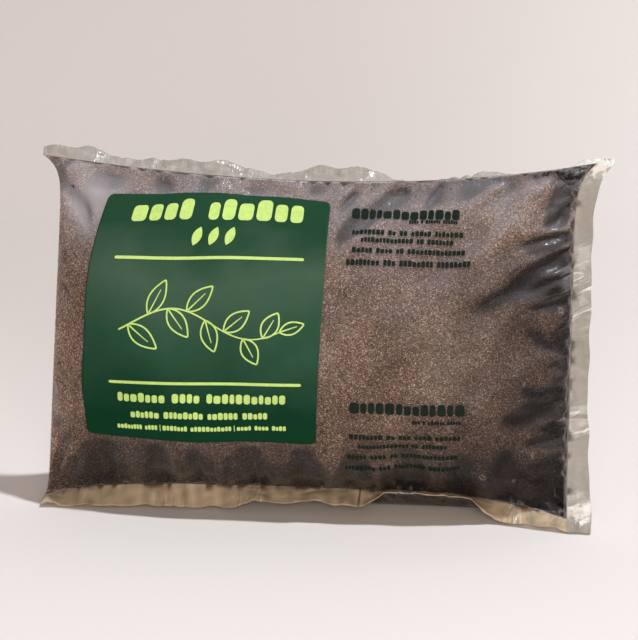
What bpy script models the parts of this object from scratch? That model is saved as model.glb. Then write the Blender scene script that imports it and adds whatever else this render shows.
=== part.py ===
"""Clear film bag of compost, standing on its long edge, with a stuck-on label on its front.

The film is one sheet, folded at the left end and welded along the top, the bottom and the right
end, where a flat double fin is left outside each weld. The compost is the filling that shows
through the film. The bag stands on its own flattened underside and faces -Y, with +Z up and the
middle of its underside at the origin.
"""

import math

import bmesh
import bpy
from mathutils import Matrix, Vector

# The bag, as it stands full (metres)
BODY_LENGTH = 0.478  # from the folded end to the weld at the right end, halfway up
WELD_HEIGHT = 0.301  # of the top weld above the floor, halfway along
FRONT_BELLY = 0.062  # how far the front swells forward of the line between the welds
BACK_BELLY = 0.075
UNDERSIDE_SAG = 0.168  # how hard the underside presses down before the floor flattens it
FLOOR_SOFTNESS = 0.007  # rounding where the film leaves the floor

# How the cross-section curves away from its welds: shares of the belly's swell, sideways, and of
# the height between the welds, up or down
FRONT_LOW_PULL = (0.97, 0.08)
FRONT_HIGH_PULL = (0.95, 0.27)
BACK_LOW_PULL = 1.35
BACK_HIGH_PULL = (0.72, 0.28)

# The welds
BOTTOM_WELD_HEIGHT = 0.0215
BOTTOM_WELD_FORWARD = 0.042  # of the top weld
RIGHT_FOOT_FORWARD = 0.016  # further forward that the bottom weld runs at its right end
FOLD_EAR_RISE = 0.019  # of the top weld at the folded end
WELD_EAR_RISE = 0.022  # of the top weld at the right end
EAR_DROP = 0.016  # of the bottom weld at both ends
FOLD_LEAN = 0.012  # further out that the folded end stands at its foot than at its top
FOLD_TOP_EAR = 0.0175  # further out that the folded end's top corner stands
FOLD_FOOT_EAR = 0.002  # further out that its lower corner stands
WELD_FLARE = 0.018  # further out that the right end's weld ends at its top

# The fins outside the welds
BOTTOM_FIN = 0.024
TOP_FIN = 0.014
TOP_FIN_WAVE = 0.125  # spacing of the bends in the top fin
TOP_FIN_FIRST_BEND = -0.100  # where the top fin stands straightest, from halfway along
RIGHT_FIN = 0.0165
RIGHT_FIN_FOOT = 0.007  # wider that the right fin is at its foot
FLOOR_CLEARANCE = 0.0012  # under the hanging edge of the bottom fin
FIN_RAISE = 0.60  # radians that the bottom fin is turned up, once and then twice, along its middle
FIN_HIGHEST_TILT = 1.80  # radians from hanging straight down
TOP_FIN_EAR_LOSS = 0.45  # share of the top fin's width that is lost at both ends
TOP_FIN_LEAN, TOP_FIN_SWAY = 0.85, 0.45  # radians that the top fin leans back and sways by
TOP_FIN_FOLD = 1.10  # radians further back that it is folded right of the middle
RIGHT_FIN_FLUTTER = 0.0025

# The film and what touches it. The film is drawn thicker than a real one
FILM_WALL = 0.0005
LAYER_GAP = 0.0004  # between the two layers inside a fin
COMPOST_CLEARANCE = 0.0006
COMPOST_RIM_SLACK = 0.0011  # more clearance along the compost's rim, near the welds

# The vents that let air out of the film at the back
VENT_COUNT = 3
VENT_RADIUS = 0.0025
VENT_SPACING = 0.040
VENT_HEIGHT = 0.235
VENT_SIDES = 12

# The label
LABEL_WIDTH = 0.210
LABEL_LOW = 0.072  # height of its lower edge above the floor
LABEL_HIGH = 0.287
LABEL_FROM_FOLD = 0.033
LABEL_LEAN = 0.007  # further right that its upper edge lies than its lower one
LABEL_THICKNESS = 0.0003
LABEL_GAP = 0.0004
LABEL_CORNER = 0.004
LABEL_CORNER_STEPS = 4

# How finely the surfaces are divided
BODY_COLUMNS = 40
COLUMNS_ON_RIGHT_FIN = 1
BODY_ROWS = 18
ROWS_ON_BOTTOM_FIN = 2
ROWS_ON_TOP_FIN = 1

# The compost's rim, in columns or rows in from the welds: along the edges, along the bottom weld
# where the bag is full and the weld points up into it, and at the corners
COMPOST_RIM, COMPOST_BOTTOM_RIM, COMPOST_CORNER = 0.8, 0.25, 1.2

# The film's columns and rows that the label is made on
LABEL_FIRST_COLUMN = int(BODY_COLUMNS * LABEL_FROM_FOLD / BODY_LENGTH) - 2
LABEL_LAST_COLUMN = int(BODY_COLUMNS * (LABEL_FROM_FOLD + LABEL_WIDTH) / BODY_LENGTH) + 2
LABEL_FIRST_ROW, LABEL_LAST_ROW = 1, BODY_ROWS - 1

FRONT, BACK = -1, 1
LAYER_HALF = FILM_WALL + LAYER_GAP / 2  # from the middle of a fin to its outer face

# Creases in the front of the film: start and end as (x, z) from the middle of the body's length
# and the floor, then the depth of the crease and its half width. A negative depth makes a ridge
FRONT_CREASES = (
    ((0.232, 0.276), (0.206, 0.262), 0.0060, 0.0075),
    ((0.231, 0.237), (0.148, 0.196), 0.0060, 0.0080),
    ((0.229, 0.107), (0.170, 0.096), 0.0046, 0.0070),
    ((0.212, 0.301), (0.144, 0.266), -0.0042, 0.0085),
    ((0.206, 0.289), (0.134, 0.224), -0.0048, 0.0100),
    ((0.081, 0.296), (0.016, 0.244), 0.0050, 0.0075),
    ((-0.196, 0.261), (-0.233, 0.298), 0.0045, 0.0070),
    ((-0.222, 0.022), (-0.202, 0.072), 0.0050, 0.0070),
    ((-0.010, 0.022), (-0.004, 0.074), 0.0050, 0.0070),
)

# Gathers along the long welds: spacing, depth at the weld and how far they run into the film
GATHER_SPACING = 0.047
GATHER_WANDER = 0.9  # how unevenly they are spaced
BOTTOM_GATHER_DEPTH, BOTTOM_GATHER_REACH = 0.0060, 0.042
TOP_GATHER_DEPTH, TOP_GATHER_REACH = 0.0022, 0.030
END_GATHER_SPACING = 0.040
END_GATHER_DEPTH, END_GATHER_REACH = 0.0030, 0.040
LUMP_HEIGHT = 0.0012  # of each of the compost's soft swells


def mix(a, b, share):
    return a + (b - a) * share


def smooth_step(low, high, value):
    share = min(max((value - low) / (high - low), 0.0), 1.0)
    return share * share * (3 - 2 * share)


def bezier(points, t):
    """A point of the cubic curve with these four control points."""
    a, b, c, d = points
    s = 1 - t
    return a * s**3 + b * (3 * s * s * t) + c * (3 * s * t * t) + d * t**3


def rested(height):
    """A height after the floor has flattened what would hang below it."""
    soft = FLOOR_SOFTNESS
    if height >= soft:
        return height
    return max(height + soft, 0.0) ** 2 / (4 * soft)


def plumpness(u):
    """How full the bag is at u, from 0 at both ends (-1 and 1) to 1 halfway along."""
    roundness = 0.52 if u < 0 else 0.60
    return (1 - min(abs(u), 1.0) ** 3) ** roundness


def bottom_weld(u):
    """The bottom weld's (y, z) at u."""
    forward = BOTTOM_WELD_FORWARD + RIGHT_FOOT_FORWARD * max(u, 0.0) ** 4
    return Vector((-forward, BOTTOM_WELD_HEIGHT - EAR_DROP * abs(u) ** 4))


def top_weld(u):
    rise = FOLD_EAR_RISE * abs(u) ** 1.8 if u < 0 else WELD_EAR_RISE * u**2.2
    return Vector((0.0, WELD_HEIGHT + rise))


def section(side, u, t):
    """A point (y, z) of the bag's cross-section at u, from the bottom weld (t 0) to the top (t 1)."""
    low, high = bottom_weld(u), top_weld(u)
    full = plumpness(u)
    flat = [low, mix(low, high, 1 / 3), mix(low, high, 2 / 3), high]
    height = high.y - low.y
    if side == FRONT:
        swell = FRONT_BELLY * 4 / 3
        round_ones = (
            low + Vector((-FRONT_LOW_PULL[0] * swell, FRONT_LOW_PULL[1] * height)),
            high + Vector((-FRONT_HIGH_PULL[0] * swell, -FRONT_HIGH_PULL[1] * height)),
        )
    else:
        swell = BACK_BELLY * 4 / 3
        round_ones = (
            low + Vector((BACK_LOW_PULL * swell, -UNDERSIDE_SAG)),
            high + Vector((BACK_HIGH_PULL[0] * swell, -BACK_HIGH_PULL[1] * height)),
        )
    curve = [
        flat[0],
        mix(flat[1], round_ones[0], full),
        mix(flat[2], round_ones[1], full),
        flat[3],
    ]
    point = bezier(curve, t)
    return Vector((point.x, rested(point.y)))


def bottom_fin_tilt(u):
    """How far the bottom fin leans forward from hanging straight down, in radians."""
    turned_up_once = smooth_step(-0.32, -0.12, u) * (1 - smooth_step(0.62, 0.78, u))
    turned_up_again = smooth_step(0.22, 0.36, u) * (1 - smooth_step(0.60, 0.72, u))
    raised = turned_up_once + turned_up_again
    rest_height = bottom_weld(u).y - FLOOR_CLEARANCE
    hanging = math.acos(min(rest_height / BOTTOM_FIN, 1.0))
    sway = 0.05 * (1 + math.sin(23 * u))
    return min(hanging + sway + raised * FIN_RAISE, FIN_HIGHEST_TILT)


def top_fin_tilt(u):
    """How far the top fin leans back from standing straight up, in radians."""
    folded_back = smooth_step(0.10, 0.45, u) * (1 - smooth_step(0.85, 1.0, u))
    bend = 2 * math.pi * (u * BODY_LENGTH / 2 - TOP_FIN_FIRST_BEND) / TOP_FIN_WAVE
    return TOP_FIN_LEAN - TOP_FIN_SWAY * math.cos(bend) + TOP_FIN_FOLD * folded_back


def across(u, t):
    """The (y, z) direction from the front layer to the back layer, where the two lie together."""
    low, high = bottom_fin_tilt(u), top_fin_tilt(u)
    angle = mix(low, high, t)
    return Vector((math.cos(angle), -math.sin(angle)))


def gathers(x, z, side):
    """How deep the gathers press in at a place on the film, from the welds that pull them."""
    wander = GATHER_WANDER * math.sin(2 * math.pi * x / 0.137 + side)
    phase = 2 * math.pi * x / GATHER_SPACING + wander
    wave = 0.5 + 0.5 * math.cos(phase)
    low = BOTTOM_GATHER_DEPTH * math.exp(-(((z - BOTTOM_WELD_HEIGHT) / BOTTOM_GATHER_REACH) ** 2))
    high = TOP_GATHER_DEPTH * math.exp(-(((z - WELD_HEIGHT) / TOP_GATHER_REACH) ** 2))
    end_wave = 0.5 + 0.5 * math.cos(2 * math.pi * z / END_GATHER_SPACING + side)
    from_weld = BODY_LENGTH / 2 - x
    end = END_GATHER_DEPTH * math.exp(-((from_weld / END_GATHER_REACH) ** 2))
    return wave * (low + high) + end_wave * end


def lumps(side, x, z):
    """The compost's own soft swells and hollows, as three crossing waves."""
    turn = 2 * math.pi
    waves = math.sin(turn * (x + 0.6 * z) / 0.131 + 1.7 * side)
    waves += math.sin(turn * (z - 0.5 * x) / 0.097 + 0.8 * side)
    return LUMP_HEIGHT * (waves + 0.6 * math.sin(turn * (0.9 * x - z) / 0.071 + 2.9 * side))


def crease_depth(x, z):
    """How deep the front's creases press in at (x, z)."""
    depth = 0.0
    for (x0, z0), (x1, z1), deepest, half_width in FRONT_CREASES:
        run = Vector((x1 - x0, z1 - z0))
        share = min(max(Vector((x - x0, z - z0)).dot(run) / run.length_squared, 0.0), 1.0)
        away = math.hypot(x - x0 - run.x * share, z - z0 - run.y * share)
        depth += deepest * (1 - share**2) * math.exp(-((away / half_width) ** 2))
    return depth


def fold_place(t):
    """The folded end's x at t."""
    ear = FOLD_TOP_EAR if t > 0.5 else FOLD_FOOT_EAR
    return -BODY_LENGTH / 2 + FOLD_LEAN * (t - 0.5) - ear * abs(2 * t - 1) ** 14


def right_weld_place(t):
    """The right end's weld's x at t."""
    return BODY_LENGTH / 2 + WELD_FLARE * max(2 * t - 1, 0.0) ** 10


def smooth_point(side, u, t):
    """A point of the full bag between its welds, before it gathers and creases."""
    place = section(side, u, t) + across(u, t) * (side * LAYER_HALF)
    x = mix(fold_place(t), right_weld_place(t), (u + 1) / 2)
    return Vector((x, place.x, max(place.y, 0.0)))


def outward(side, u, t):
    """The outward direction of the smooth bag at (u, t)."""
    step = 0.004
    u0, u1 = max(u - step, -1.0), min(u + step, 1.0)
    t0, t1 = max(t - step, 0.0), min(t + step, 1.0)
    along = smooth_point(side, u1, t) - smooth_point(side, u0, t)
    up = smooth_point(side, u, t1) - smooth_point(side, u, t0)
    return (along.cross(up) * -side).normalized()


def body_point(side, u, t, inset=0.0):
    """A point of the film's outer face between the welds, or that far inside it."""
    point = smooth_point(side, u, t)
    normal = outward(side, u, t)
    free = smooth_step(0.0, 0.06, t) * smooth_step(0.0, 0.04, 1 - t)
    free *= smooth_step(0.0, 0.05, 1 - abs(u))
    off_floor = smooth_step(0.0, 0.030, point.z)
    pressed = gathers(point.x, point.z, side)
    if side == FRONT:
        pressed += crease_depth(point.x, point.z)
        pressed *= label_free(point)
    pressed -= lumps(side, point.x, point.z)
    moved = point - normal * (pressed * free * off_floor + inset)
    moved.z = max(moved.z, inset)
    return moved


def label_free(point):
    """0 under the label, which keeps the film flat, and 1 well away from it."""
    left = -BODY_LENGTH / 2 + LABEL_FROM_FOLD
    outside = max(left - point.x, point.x - left - LABEL_WIDTH, 0.0)
    above = max(LABEL_LOW - point.z, point.z - LABEL_HIGH, 0.0)
    return smooth_step(0.0, 0.012, max(outside, above))


def film_point(side, column, row):
    """A point of the film's outer face. Columns and rows past the body lie on the fins."""
    u = -1 + 2 * min(column / BODY_COLUMNS, 1.0)
    t = min(max((row - ROWS_ON_BOTTOM_FIN) / BODY_ROWS, 0.0), 1.0)
    point = body_point(side, u, t)
    past_bottom = max(ROWS_ON_BOTTOM_FIN - row, 0.0) / ROWS_ON_BOTTOM_FIN
    past_top = max(row - ROWS_ON_BOTTOM_FIN - BODY_ROWS, 0.0) / ROWS_ON_TOP_FIN
    past_right = max(column - BODY_COLUMNS, 0.0) / COLUMNS_ON_RIGHT_FIN
    tilt = bottom_fin_tilt(u)
    point += past_bottom * BOTTOM_FIN * Vector((0, -math.sin(tilt), -math.cos(tilt)))
    lean = top_fin_tilt(u)
    width = TOP_FIN * (1 - TOP_FIN_EAR_LOSS * abs(u) ** 8)
    point += past_top * width * Vector((0, math.sin(lean), math.cos(lean)))
    foot = RIGHT_FIN_FOOT * (1 - t) ** 6
    flutter = RIGHT_FIN_FLUTTER * math.sin(34 * t + 1.0) * (1 - abs(2 * t - 1) ** 6)
    point += past_right * Vector((RIGHT_FIN + foot, flutter, 0))
    return point


def closed_pair(name, columns, rows, point_of):
    """Two grids, front and back, placed by point_of and joined all round their rims."""
    mesh = bpy.data.meshes.new(name)
    shape = bmesh.new()
    rims = []
    for side in (FRONT, BACK):
        grid = bmesh.ops.create_grid(shape, x_segments=columns, y_segments=rows, size=1.0)
        faces = {face for vertex in grid["verts"] for face in vertex.link_faces}
        rims += [e for v in grid["verts"] for e in v.link_edges if e.is_boundary]
        for vertex in grid["verts"]:
            column, row = (vertex.co.x + 1) / 2 * columns, (vertex.co.y + 1) / 2 * rows
            vertex.co = point_of(side, column, row)
        halves = bmesh.ops.triangulate(shape, faces=list(faces), quad_method="FIXED")
        if side == FRONT:
            bmesh.ops.reverse_faces(shape, faces=halves["faces"])
    bmesh.ops.bridge_loops(shape, edges=list(set(rims)))
    bmesh.ops.recalc_face_normals(shape, faces=shape.faces[:])
    if shape.calc_volume(signed=True) < 0:
        bmesh.ops.reverse_faces(shape, faces=shape.faces[:])
    shape.to_mesh(mesh)
    shape.free()
    return new_object(name, mesh)


def new_object(name, mesh, collection="compost bag"):
    thing = bpy.data.objects.new(name, mesh)
    collection_named(collection).objects.link(thing)
    return thing


def collection_named(name):
    found = bpy.data.collections.get(name)
    if found is None:
        found = bpy.data.collections.new(name)
        bpy.context.scene.collection.children.link(found)
    return found


def give_material(thing, name, colour, roughness, alpha=1.0):
    material = bpy.data.materials.new(name)
    material.use_nodes = True
    shader = material.node_tree.nodes["Principled BSDF"]
    shader.inputs["Base Color"].default_value = (*colour, 1.0)
    shader.inputs["Roughness"].default_value = roughness
    shader.inputs["Metallic"].default_value = 0.0
    shader.inputs["Alpha"].default_value = alpha
    thing.data.materials.append(material)


def round_shading(thing):
    thing.data.shade_smooth()
    thing.data.set_sharp_from_angle(angle=math.radians(50))


def make_film():
    """The film: a thin shell with an outer and an inner face, open only at its vents."""
    columns = BODY_COLUMNS + COLUMNS_ON_RIGHT_FIN
    rows = ROWS_ON_BOTTOM_FIN + BODY_ROWS + ROWS_ON_TOP_FIN
    film = closed_pair("film", columns, rows, film_point)
    wall = film.modifiers.new("wall", "SOLIDIFY")
    wall.thickness = FILM_WALL
    wall.offset = -1.0
    for number in range(VENT_COUNT):
        cut_vent(film, number)
    round_shading(film)
    give_material(film, "clear film", (0.82, 0.82, 0.78), 0.18, alpha=0.35)
    return film


def cut_vent(film, number):
    """One vent, cut square to the back of the film."""
    x = (number - (VENT_COUNT - 1) / 2) * VENT_SPACING
    u = 2 * x / BODY_LENGTH
    t = place_at_height(BACK, u, VENT_HEIGHT)
    centre, normal = body_point(BACK, u, t), outward(BACK, u, t)
    reach = 4 * FILM_WALL
    mesh = bpy.data.meshes.new("vent")
    shape = bmesh.new()
    bmesh.ops.create_cone(
        shape,
        cap_ends=True,
        segments=VENT_SIDES,
        radius1=VENT_RADIUS,
        radius2=VENT_RADIUS,
        depth=2 * reach,
    )
    shape.to_mesh(mesh)
    shape.free()
    cutter = new_object(f"vent_cutter_{number + 1}", mesh, "cutters")
    cutter.location = centre
    cutter.rotation_mode = "QUATERNION"
    cutter.rotation_quaternion = normal.to_track_quat("Z", "Y")
    cutter.hide_render = True
    cutter.display_type = "WIRE"
    cut = film.modifiers.new(f"vent {number + 1}", "BOOLEAN")
    cut.operation = "DIFFERENCE"
    cut.object = cutter


def place_at_height(side, u, height):
    """The t at which the bag's front or back passes a height on its way up."""
    low, high = (0.0, 1.0) if side == FRONT else (0.45, 1.0)
    for _ in range(30):
        middle = (low + high) / 2
        if smooth_point(side, u, middle).z < height:
            low = middle
        else:
            high = middle
    return (low + high) / 2


def inner_point(side, column, row, inset):
    """A point that far inside the film at a column and row of its body."""
    u = -1 + 2 * column / BODY_COLUMNS
    return body_point(side, u, row / BODY_ROWS, inset)


def compost_point(side, column, row):
    """A point of the compost. It follows the film's own grid, so the two stay parallel."""
    at_end = column in (0, BODY_COLUMNS)
    at_long_edge = row in (0, BODY_ROWS)
    full = math.sqrt(plumpness(2 * column / BODY_COLUMNS - 1))
    rim, bottom_rim = COMPOST_RIM, mix(COMPOST_RIM, COMPOST_BOTTOM_RIM, full)
    if at_end and at_long_edge:
        rim = bottom_rim = COMPOST_CORNER
    column = min(max(column, rim), BODY_COLUMNS - rim)
    row = min(max(row, bottom_rim), BODY_ROWS - rim)
    inset = FILM_WALL + COMPOST_CLEARANCE
    if at_end or at_long_edge:
        inset += COMPOST_RIM_SLACK
    left, low = min(int(column), BODY_COLUMNS - 1), min(int(row), BODY_ROWS - 1)
    corners = [
        inner_point(side, left + a, low + b, inset) for b in (0, 1) for a in (0, 1)
    ]
    low_edge = mix(corners[0], corners[1], column - left)
    high_edge = mix(corners[2], corners[3], column - left)
    return mix(low_edge, high_edge, row - low)


def make_compost():
    compost = closed_pair("compost", BODY_COLUMNS, BODY_ROWS, compost_point)
    round_shading(compost)
    give_material(compost, "dark compost", (0.085, 0.055, 0.040), 0.95)
    return compost


def label_point(side, column, row):
    """A point of the label's under face, on the film's own grid and just clear of it."""
    return inner_point(side, column + LABEL_FIRST_COLUMN, row + LABEL_FIRST_ROW, -LABEL_GAP)


def label_block():
    """A block through the bag with the label's outline: a rectangle with rounded corners."""
    left = -BODY_LENGTH / 2 + LABEL_FROM_FOLD
    outline = bpy.data.curves.new("label outline", "CURVE")
    outline.dimensions = "2D"
    outline.fill_mode = "BOTH"
    outline.extrude = 2 * FRONT_BELLY
    corners = (
        (left, LABEL_LOW, 180),
        (left + LABEL_WIDTH, LABEL_LOW, 270),
        (left + LABEL_WIDTH + LABEL_LEAN, LABEL_HIGH, 0),
        (left + LABEL_LEAN, LABEL_HIGH, 90),
    )
    spline = outline.splines.new("POLY")
    points = []
    for x, z, start in corners:
        inward = Vector((math.copysign(1, left + LABEL_WIDTH / 2 - x), 1 if z == LABEL_LOW else -1))
        centre = Vector((x, z)) + inward * LABEL_CORNER
        for step in range(LABEL_CORNER_STEPS + 1):
            turn = math.radians(start + 90 * step / LABEL_CORNER_STEPS)
            points.append(centre + LABEL_CORNER * Vector((math.cos(turn), math.sin(turn))))
    spline.points.add(len(points) - 1)
    for place, point in zip(spline.points, points):
        place.co = (point.x, point.y, 0.0, 1.0)
    spline.use_cyclic_u = True
    curve = bpy.data.objects.new("label outline", outline)
    curve.matrix_world = Matrix.Rotation(math.pi / 2, 4, "X")
    bpy.context.scene.collection.objects.link(curve)
    bpy.context.view_layer.update()
    evaluated = curve.evaluated_get(bpy.context.evaluated_depsgraph_get())
    mesh = bpy.data.meshes.new_from_object(evaluated)
    shape = bmesh.new()
    shape.from_mesh(mesh)
    bmesh.ops.remove_doubles(shape, verts=shape.verts[:], dist=0.00001)
    bmesh.ops.recalc_face_normals(shape, faces=shape.faces[:])
    shape.to_mesh(mesh)
    shape.free()
    block = new_object("label_block", mesh, "cutters")
    block.matrix_world = curve.matrix_world
    block.hide_render = True
    block.display_type = "WIRE"
    bpy.data.objects.remove(curve)
    return block


def make_label():
    """The label: a thin skin over the film's front, cut to its outline."""
    mesh = bpy.data.meshes.new("label")
    shape = bmesh.new()
    columns = LABEL_LAST_COLUMN - LABEL_FIRST_COLUMN
    rows = LABEL_LAST_ROW - LABEL_FIRST_ROW
    grid = bmesh.ops.create_grid(shape, x_segments=columns, y_segments=rows, size=1.0)
    for vertex in grid["verts"]:
        column, row = (vertex.co.x + 1) / 2 * columns, (vertex.co.y + 1) / 2 * rows
        vertex.co = label_point(FRONT, round(column), round(row))
    bmesh.ops.triangulate(shape, faces=shape.faces[:], quad_method="FIXED")
    bmesh.ops.reverse_faces(shape, faces=shape.faces[:])
    shape.to_mesh(mesh)
    shape.free()
    label = new_object("label", mesh)
    skin = label.modifiers.new("thickness", "SOLIDIFY")
    skin.thickness = LABEL_THICKNESS
    skin.offset = 1.0
    trim = label.modifiers.new("outline", "BOOLEAN")
    trim.operation = "INTERSECT"
    trim.object = label_block()
    round_shading(label)
    give_material(label, "green label", (0.012, 0.115, 0.062), 0.42)
    return label


def stand_on_origin(things):
    """Moves everything so that the middle of the bag's underside is the origin."""
    bpy.context.view_layer.update()
    film = things[0]
    corners = [film.matrix_world @ vertex.co for vertex in film.data.vertices]
    centre = Vector((
        (min(c.x for c in corners) + max(c.x for c in corners)) / 2,
        (min(c.y for c in corners) + max(c.y for c in corners)) / 2,
        min(c.z for c in corners),
    ))
    stand = bpy.data.objects.new("stand", None)
    collection_named("compost bag").objects.link(stand)
    stand.location = -centre
    for thing in things + list(collection_named("cutters").objects):
        thing.parent = stand


def main():
    for thing in list(bpy.data.objects):
        bpy.data.objects.remove(thing)
    stand_on_origin([make_film(), make_compost(), make_label()])


main()
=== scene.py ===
# %% [markdown]
# # A clear film bag of compost
#
# This lesson dresses a plain solid model of a compost bag. The bag is a pillow of thin clear film,
# folded at its left end and welded along its other three edges, and it stands on its long side.
# Every surface below is a function of two parameters, worked out with numpy for whole grids at
# once, so that one formula moves the film, the compost behind it and the label on it together.

import bpy
import numpy as np
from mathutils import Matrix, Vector


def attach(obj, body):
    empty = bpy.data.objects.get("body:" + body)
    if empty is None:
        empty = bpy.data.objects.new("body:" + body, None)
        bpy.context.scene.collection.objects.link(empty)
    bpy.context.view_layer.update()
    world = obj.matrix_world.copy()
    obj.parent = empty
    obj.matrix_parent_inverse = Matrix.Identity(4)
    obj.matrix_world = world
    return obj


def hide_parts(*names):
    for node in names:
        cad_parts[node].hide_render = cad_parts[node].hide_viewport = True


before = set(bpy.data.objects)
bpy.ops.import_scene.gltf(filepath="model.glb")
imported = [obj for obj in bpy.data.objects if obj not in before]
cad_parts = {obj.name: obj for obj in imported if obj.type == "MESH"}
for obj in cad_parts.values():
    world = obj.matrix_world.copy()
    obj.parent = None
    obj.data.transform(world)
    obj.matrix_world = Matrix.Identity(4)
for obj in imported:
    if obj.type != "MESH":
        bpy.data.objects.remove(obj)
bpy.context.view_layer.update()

# %% [markdown]
# ## The camera
#
# The camera stands a little to the right of the bag's middle and looks slightly down on it. A long
# lens from two metres away keeps the bag's edges nearly parallel. The point it looks at is found
# from where the middle of the bag's foot should appear in the picture.

# %% Camera
CAMERA_TURN = np.radians(7.0)
CAMERA_RISE = np.radians(14.0)
CAMERA_AWAY = 2.3
PICTURE_WIDTH = 0.598  # metres across the picture, at the bag
FOOT_FROM_MIDDLE = 0.0038  # that the bag's foot appears to the right of the picture's middle
FOOT_BELOW_MIDDLE = 0.169
SENSOR = 36.0


def place_camera():
    """Puts the camera on a sphere round its target: (sin a cos e, -cos a cos e, sin e) times r."""
    turn, rise = CAMERA_TURN, CAMERA_RISE
    right = np.array([np.cos(turn), np.sin(turn), 0.0])
    away = np.array([np.sin(turn) * np.cos(rise), -np.cos(turn) * np.cos(rise), np.sin(rise)])
    up = np.cross(away, right)
    target = up * FOOT_BELOW_MIDDLE - right * FOOT_FROM_MIDDLE
    data = bpy.data.cameras.new("camera")
    data.sensor_fit = "HORIZONTAL"
    data.sensor_width = SENSOR
    data.lens = SENSOR * CAMERA_AWAY / PICTURE_WIDTH
    camera = bpy.data.objects.new("camera", data)
    camera.location = Vector(target + away * CAMERA_AWAY)
    camera.rotation_euler = Vector(away).to_track_quat("Z", "Y").to_euler()
    bpy.context.scene.collection.objects.link(camera)
    bpy.context.scene.camera = camera
    return camera


camera = place_camera()
print("camera at", [round(v, 3) for v in camera.location], "lens", round(camera.data.lens, 1))

# %% [markdown]
# ## The full bag
#
# A filled bag could be inflated by a simulation, but the filling is heavy and granular, so its
# shape is that of a slumped sack more than of a balloon. Here each upright cross-section is a pair
# of Bezier curves between the two long welds. They swell fully in the middle of the bag and lie
# flat at its ends. The floor then flattens whatever would hang below it. These are the same
# formulas and sizes as in the solid model, so the two agree.

# %% Sizes of the full bag
BODY_LENGTH, WELD_HEIGHT = 0.478, 0.301
FRONT_BELLY, BACK_BELLY = 0.062, 0.075
UNDERSIDE_SAG, FLOOR_SOFTNESS = 0.168, 0.007
FRONT_LOW_PULL, FRONT_HIGH_PULL = (0.97, 0.08), (0.95, 0.27)
BACK_LOW_PULL, BACK_HIGH_PULL = 1.35, (0.72, 0.28)
BOTTOM_WELD_HEIGHT, BOTTOM_WELD_FORWARD, RIGHT_FOOT_FORWARD = 0.0215, 0.042, 0.016
FOLD_EAR_RISE, WELD_EAR_RISE, EAR_DROP = 0.019, 0.022, 0.016
FOLD_LEAN, WELD_FLARE = 0.012, 0.018
FOLD_TOP_EAR, FOLD_FOOT_EAR = 0.0175, 0.002
BOTTOM_FIN, TOP_FIN, RIGHT_FIN, RIGHT_FIN_FOOT = 0.024, 0.014, 0.0165, 0.007
TOP_FIN_WAVE, TOP_FIN_FIRST_BEND = 0.125, -0.100
TOP_FIN_EAR_LOSS = 0.45  # share of the top fin's width that is lost at both ends
TOP_FIN_LEAN, TOP_FIN_SWAY, TOP_FIN_FOLD = 0.85, 0.45, 1.10
FIN_RAISE, FIN_HIGHEST_TILT, RIGHT_FIN_FLUTTER = 0.60, 1.80, 0.0025
FLOOR_CLEARANCE = 0.0012
LAYER_HALF = 0.0004  # from the middle of a fin to either of its layers
STAND = np.array([-0.0115, 0.01373, 0.0])  # from the body's middle to the model's origin
FRONT, BACK = -1, 1


def mix(a, b, share):
    """a + (b - a) share: a straight mix of two values."""
    return a + (b - a) * share


def smooth_step(low, high, value):
    """0 below low, 1 above high, and 3s^2 - 2s^3 between them."""
    share = np.clip((value - low) / (high - low), 0.0, 1.0)
    return share * share * (3 - 2 * share)


def plumpness(u):
    """(1 - |u|^3)^r: 1 halfway along the bag and 0 at its ends."""
    inside = 1 - np.minimum(np.abs(u), 1.0) ** 3
    return inside ** np.where(u < 0, 0.52, 0.60)


def bottom_weld(u):
    """Its (y, z): forward of the middle, and lower towards the ears by |u|^4."""
    forward = BOTTOM_WELD_FORWARD + RIGHT_FOOT_FORWARD * np.maximum(u, 0.0) ** 4
    return -forward, BOTTOM_WELD_HEIGHT - EAR_DROP * np.abs(u) ** 4


def top_weld(u):
    """Its (y, z): level in the middle, and rising to the ears by |u|^1.8 and |u|^2.2."""
    fold_ear, weld_ear = FOLD_EAR_RISE * np.abs(u) ** 1.8, WELD_EAR_RISE * np.abs(u) ** 2.2
    return 0.0 * u, WELD_HEIGHT + np.where(u < 0, fold_ear, weld_ear)


def section(side, u, t):
    """The (y, z) of a cubic Bezier curve from the bottom weld (t 0) to the top weld (t 1)."""
    low_y, low_z = bottom_weld(u)
    high_y, high_z = top_weld(u)
    height = high_z - low_z
    full = plumpness(u)
    if side == FRONT:
        swell = FRONT_BELLY * 4 / 3
        lower = -FRONT_LOW_PULL[0] * swell, FRONT_LOW_PULL[1] * height
        upper = -FRONT_HIGH_PULL[0] * swell, -FRONT_HIGH_PULL[1] * height
    else:
        swell = BACK_BELLY * 4 / 3
        lower = BACK_LOW_PULL * swell, -UNDERSIDE_SAG
        upper = BACK_HIGH_PULL[0] * swell, -BACK_HIGH_PULL[1] * height
    second_y = mix(mix(low_y, high_y, 1 / 3), low_y + lower[0], full)
    second_z = mix(mix(low_z, high_z, 1 / 3), low_z + lower[1], full)
    third_y = mix(mix(low_y, high_y, 2 / 3), high_y + upper[0], full)
    third_z = mix(mix(low_z, high_z, 2 / 3), high_z + upper[1], full)
    a, b, c, d = (1 - t) ** 3, 3 * t * (1 - t) ** 2, 3 * t * t * (1 - t), t**3
    y = a * low_y + b * second_y + c * third_y + d * high_y
    z = a * low_z + b * second_z + c * third_z + d * high_z
    pressed = np.maximum(z + FLOOR_SOFTNESS, 0.0) ** 2 / (4 * FLOOR_SOFTNESS)
    return y, np.where(z >= FLOOR_SOFTNESS, z, pressed)


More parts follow.
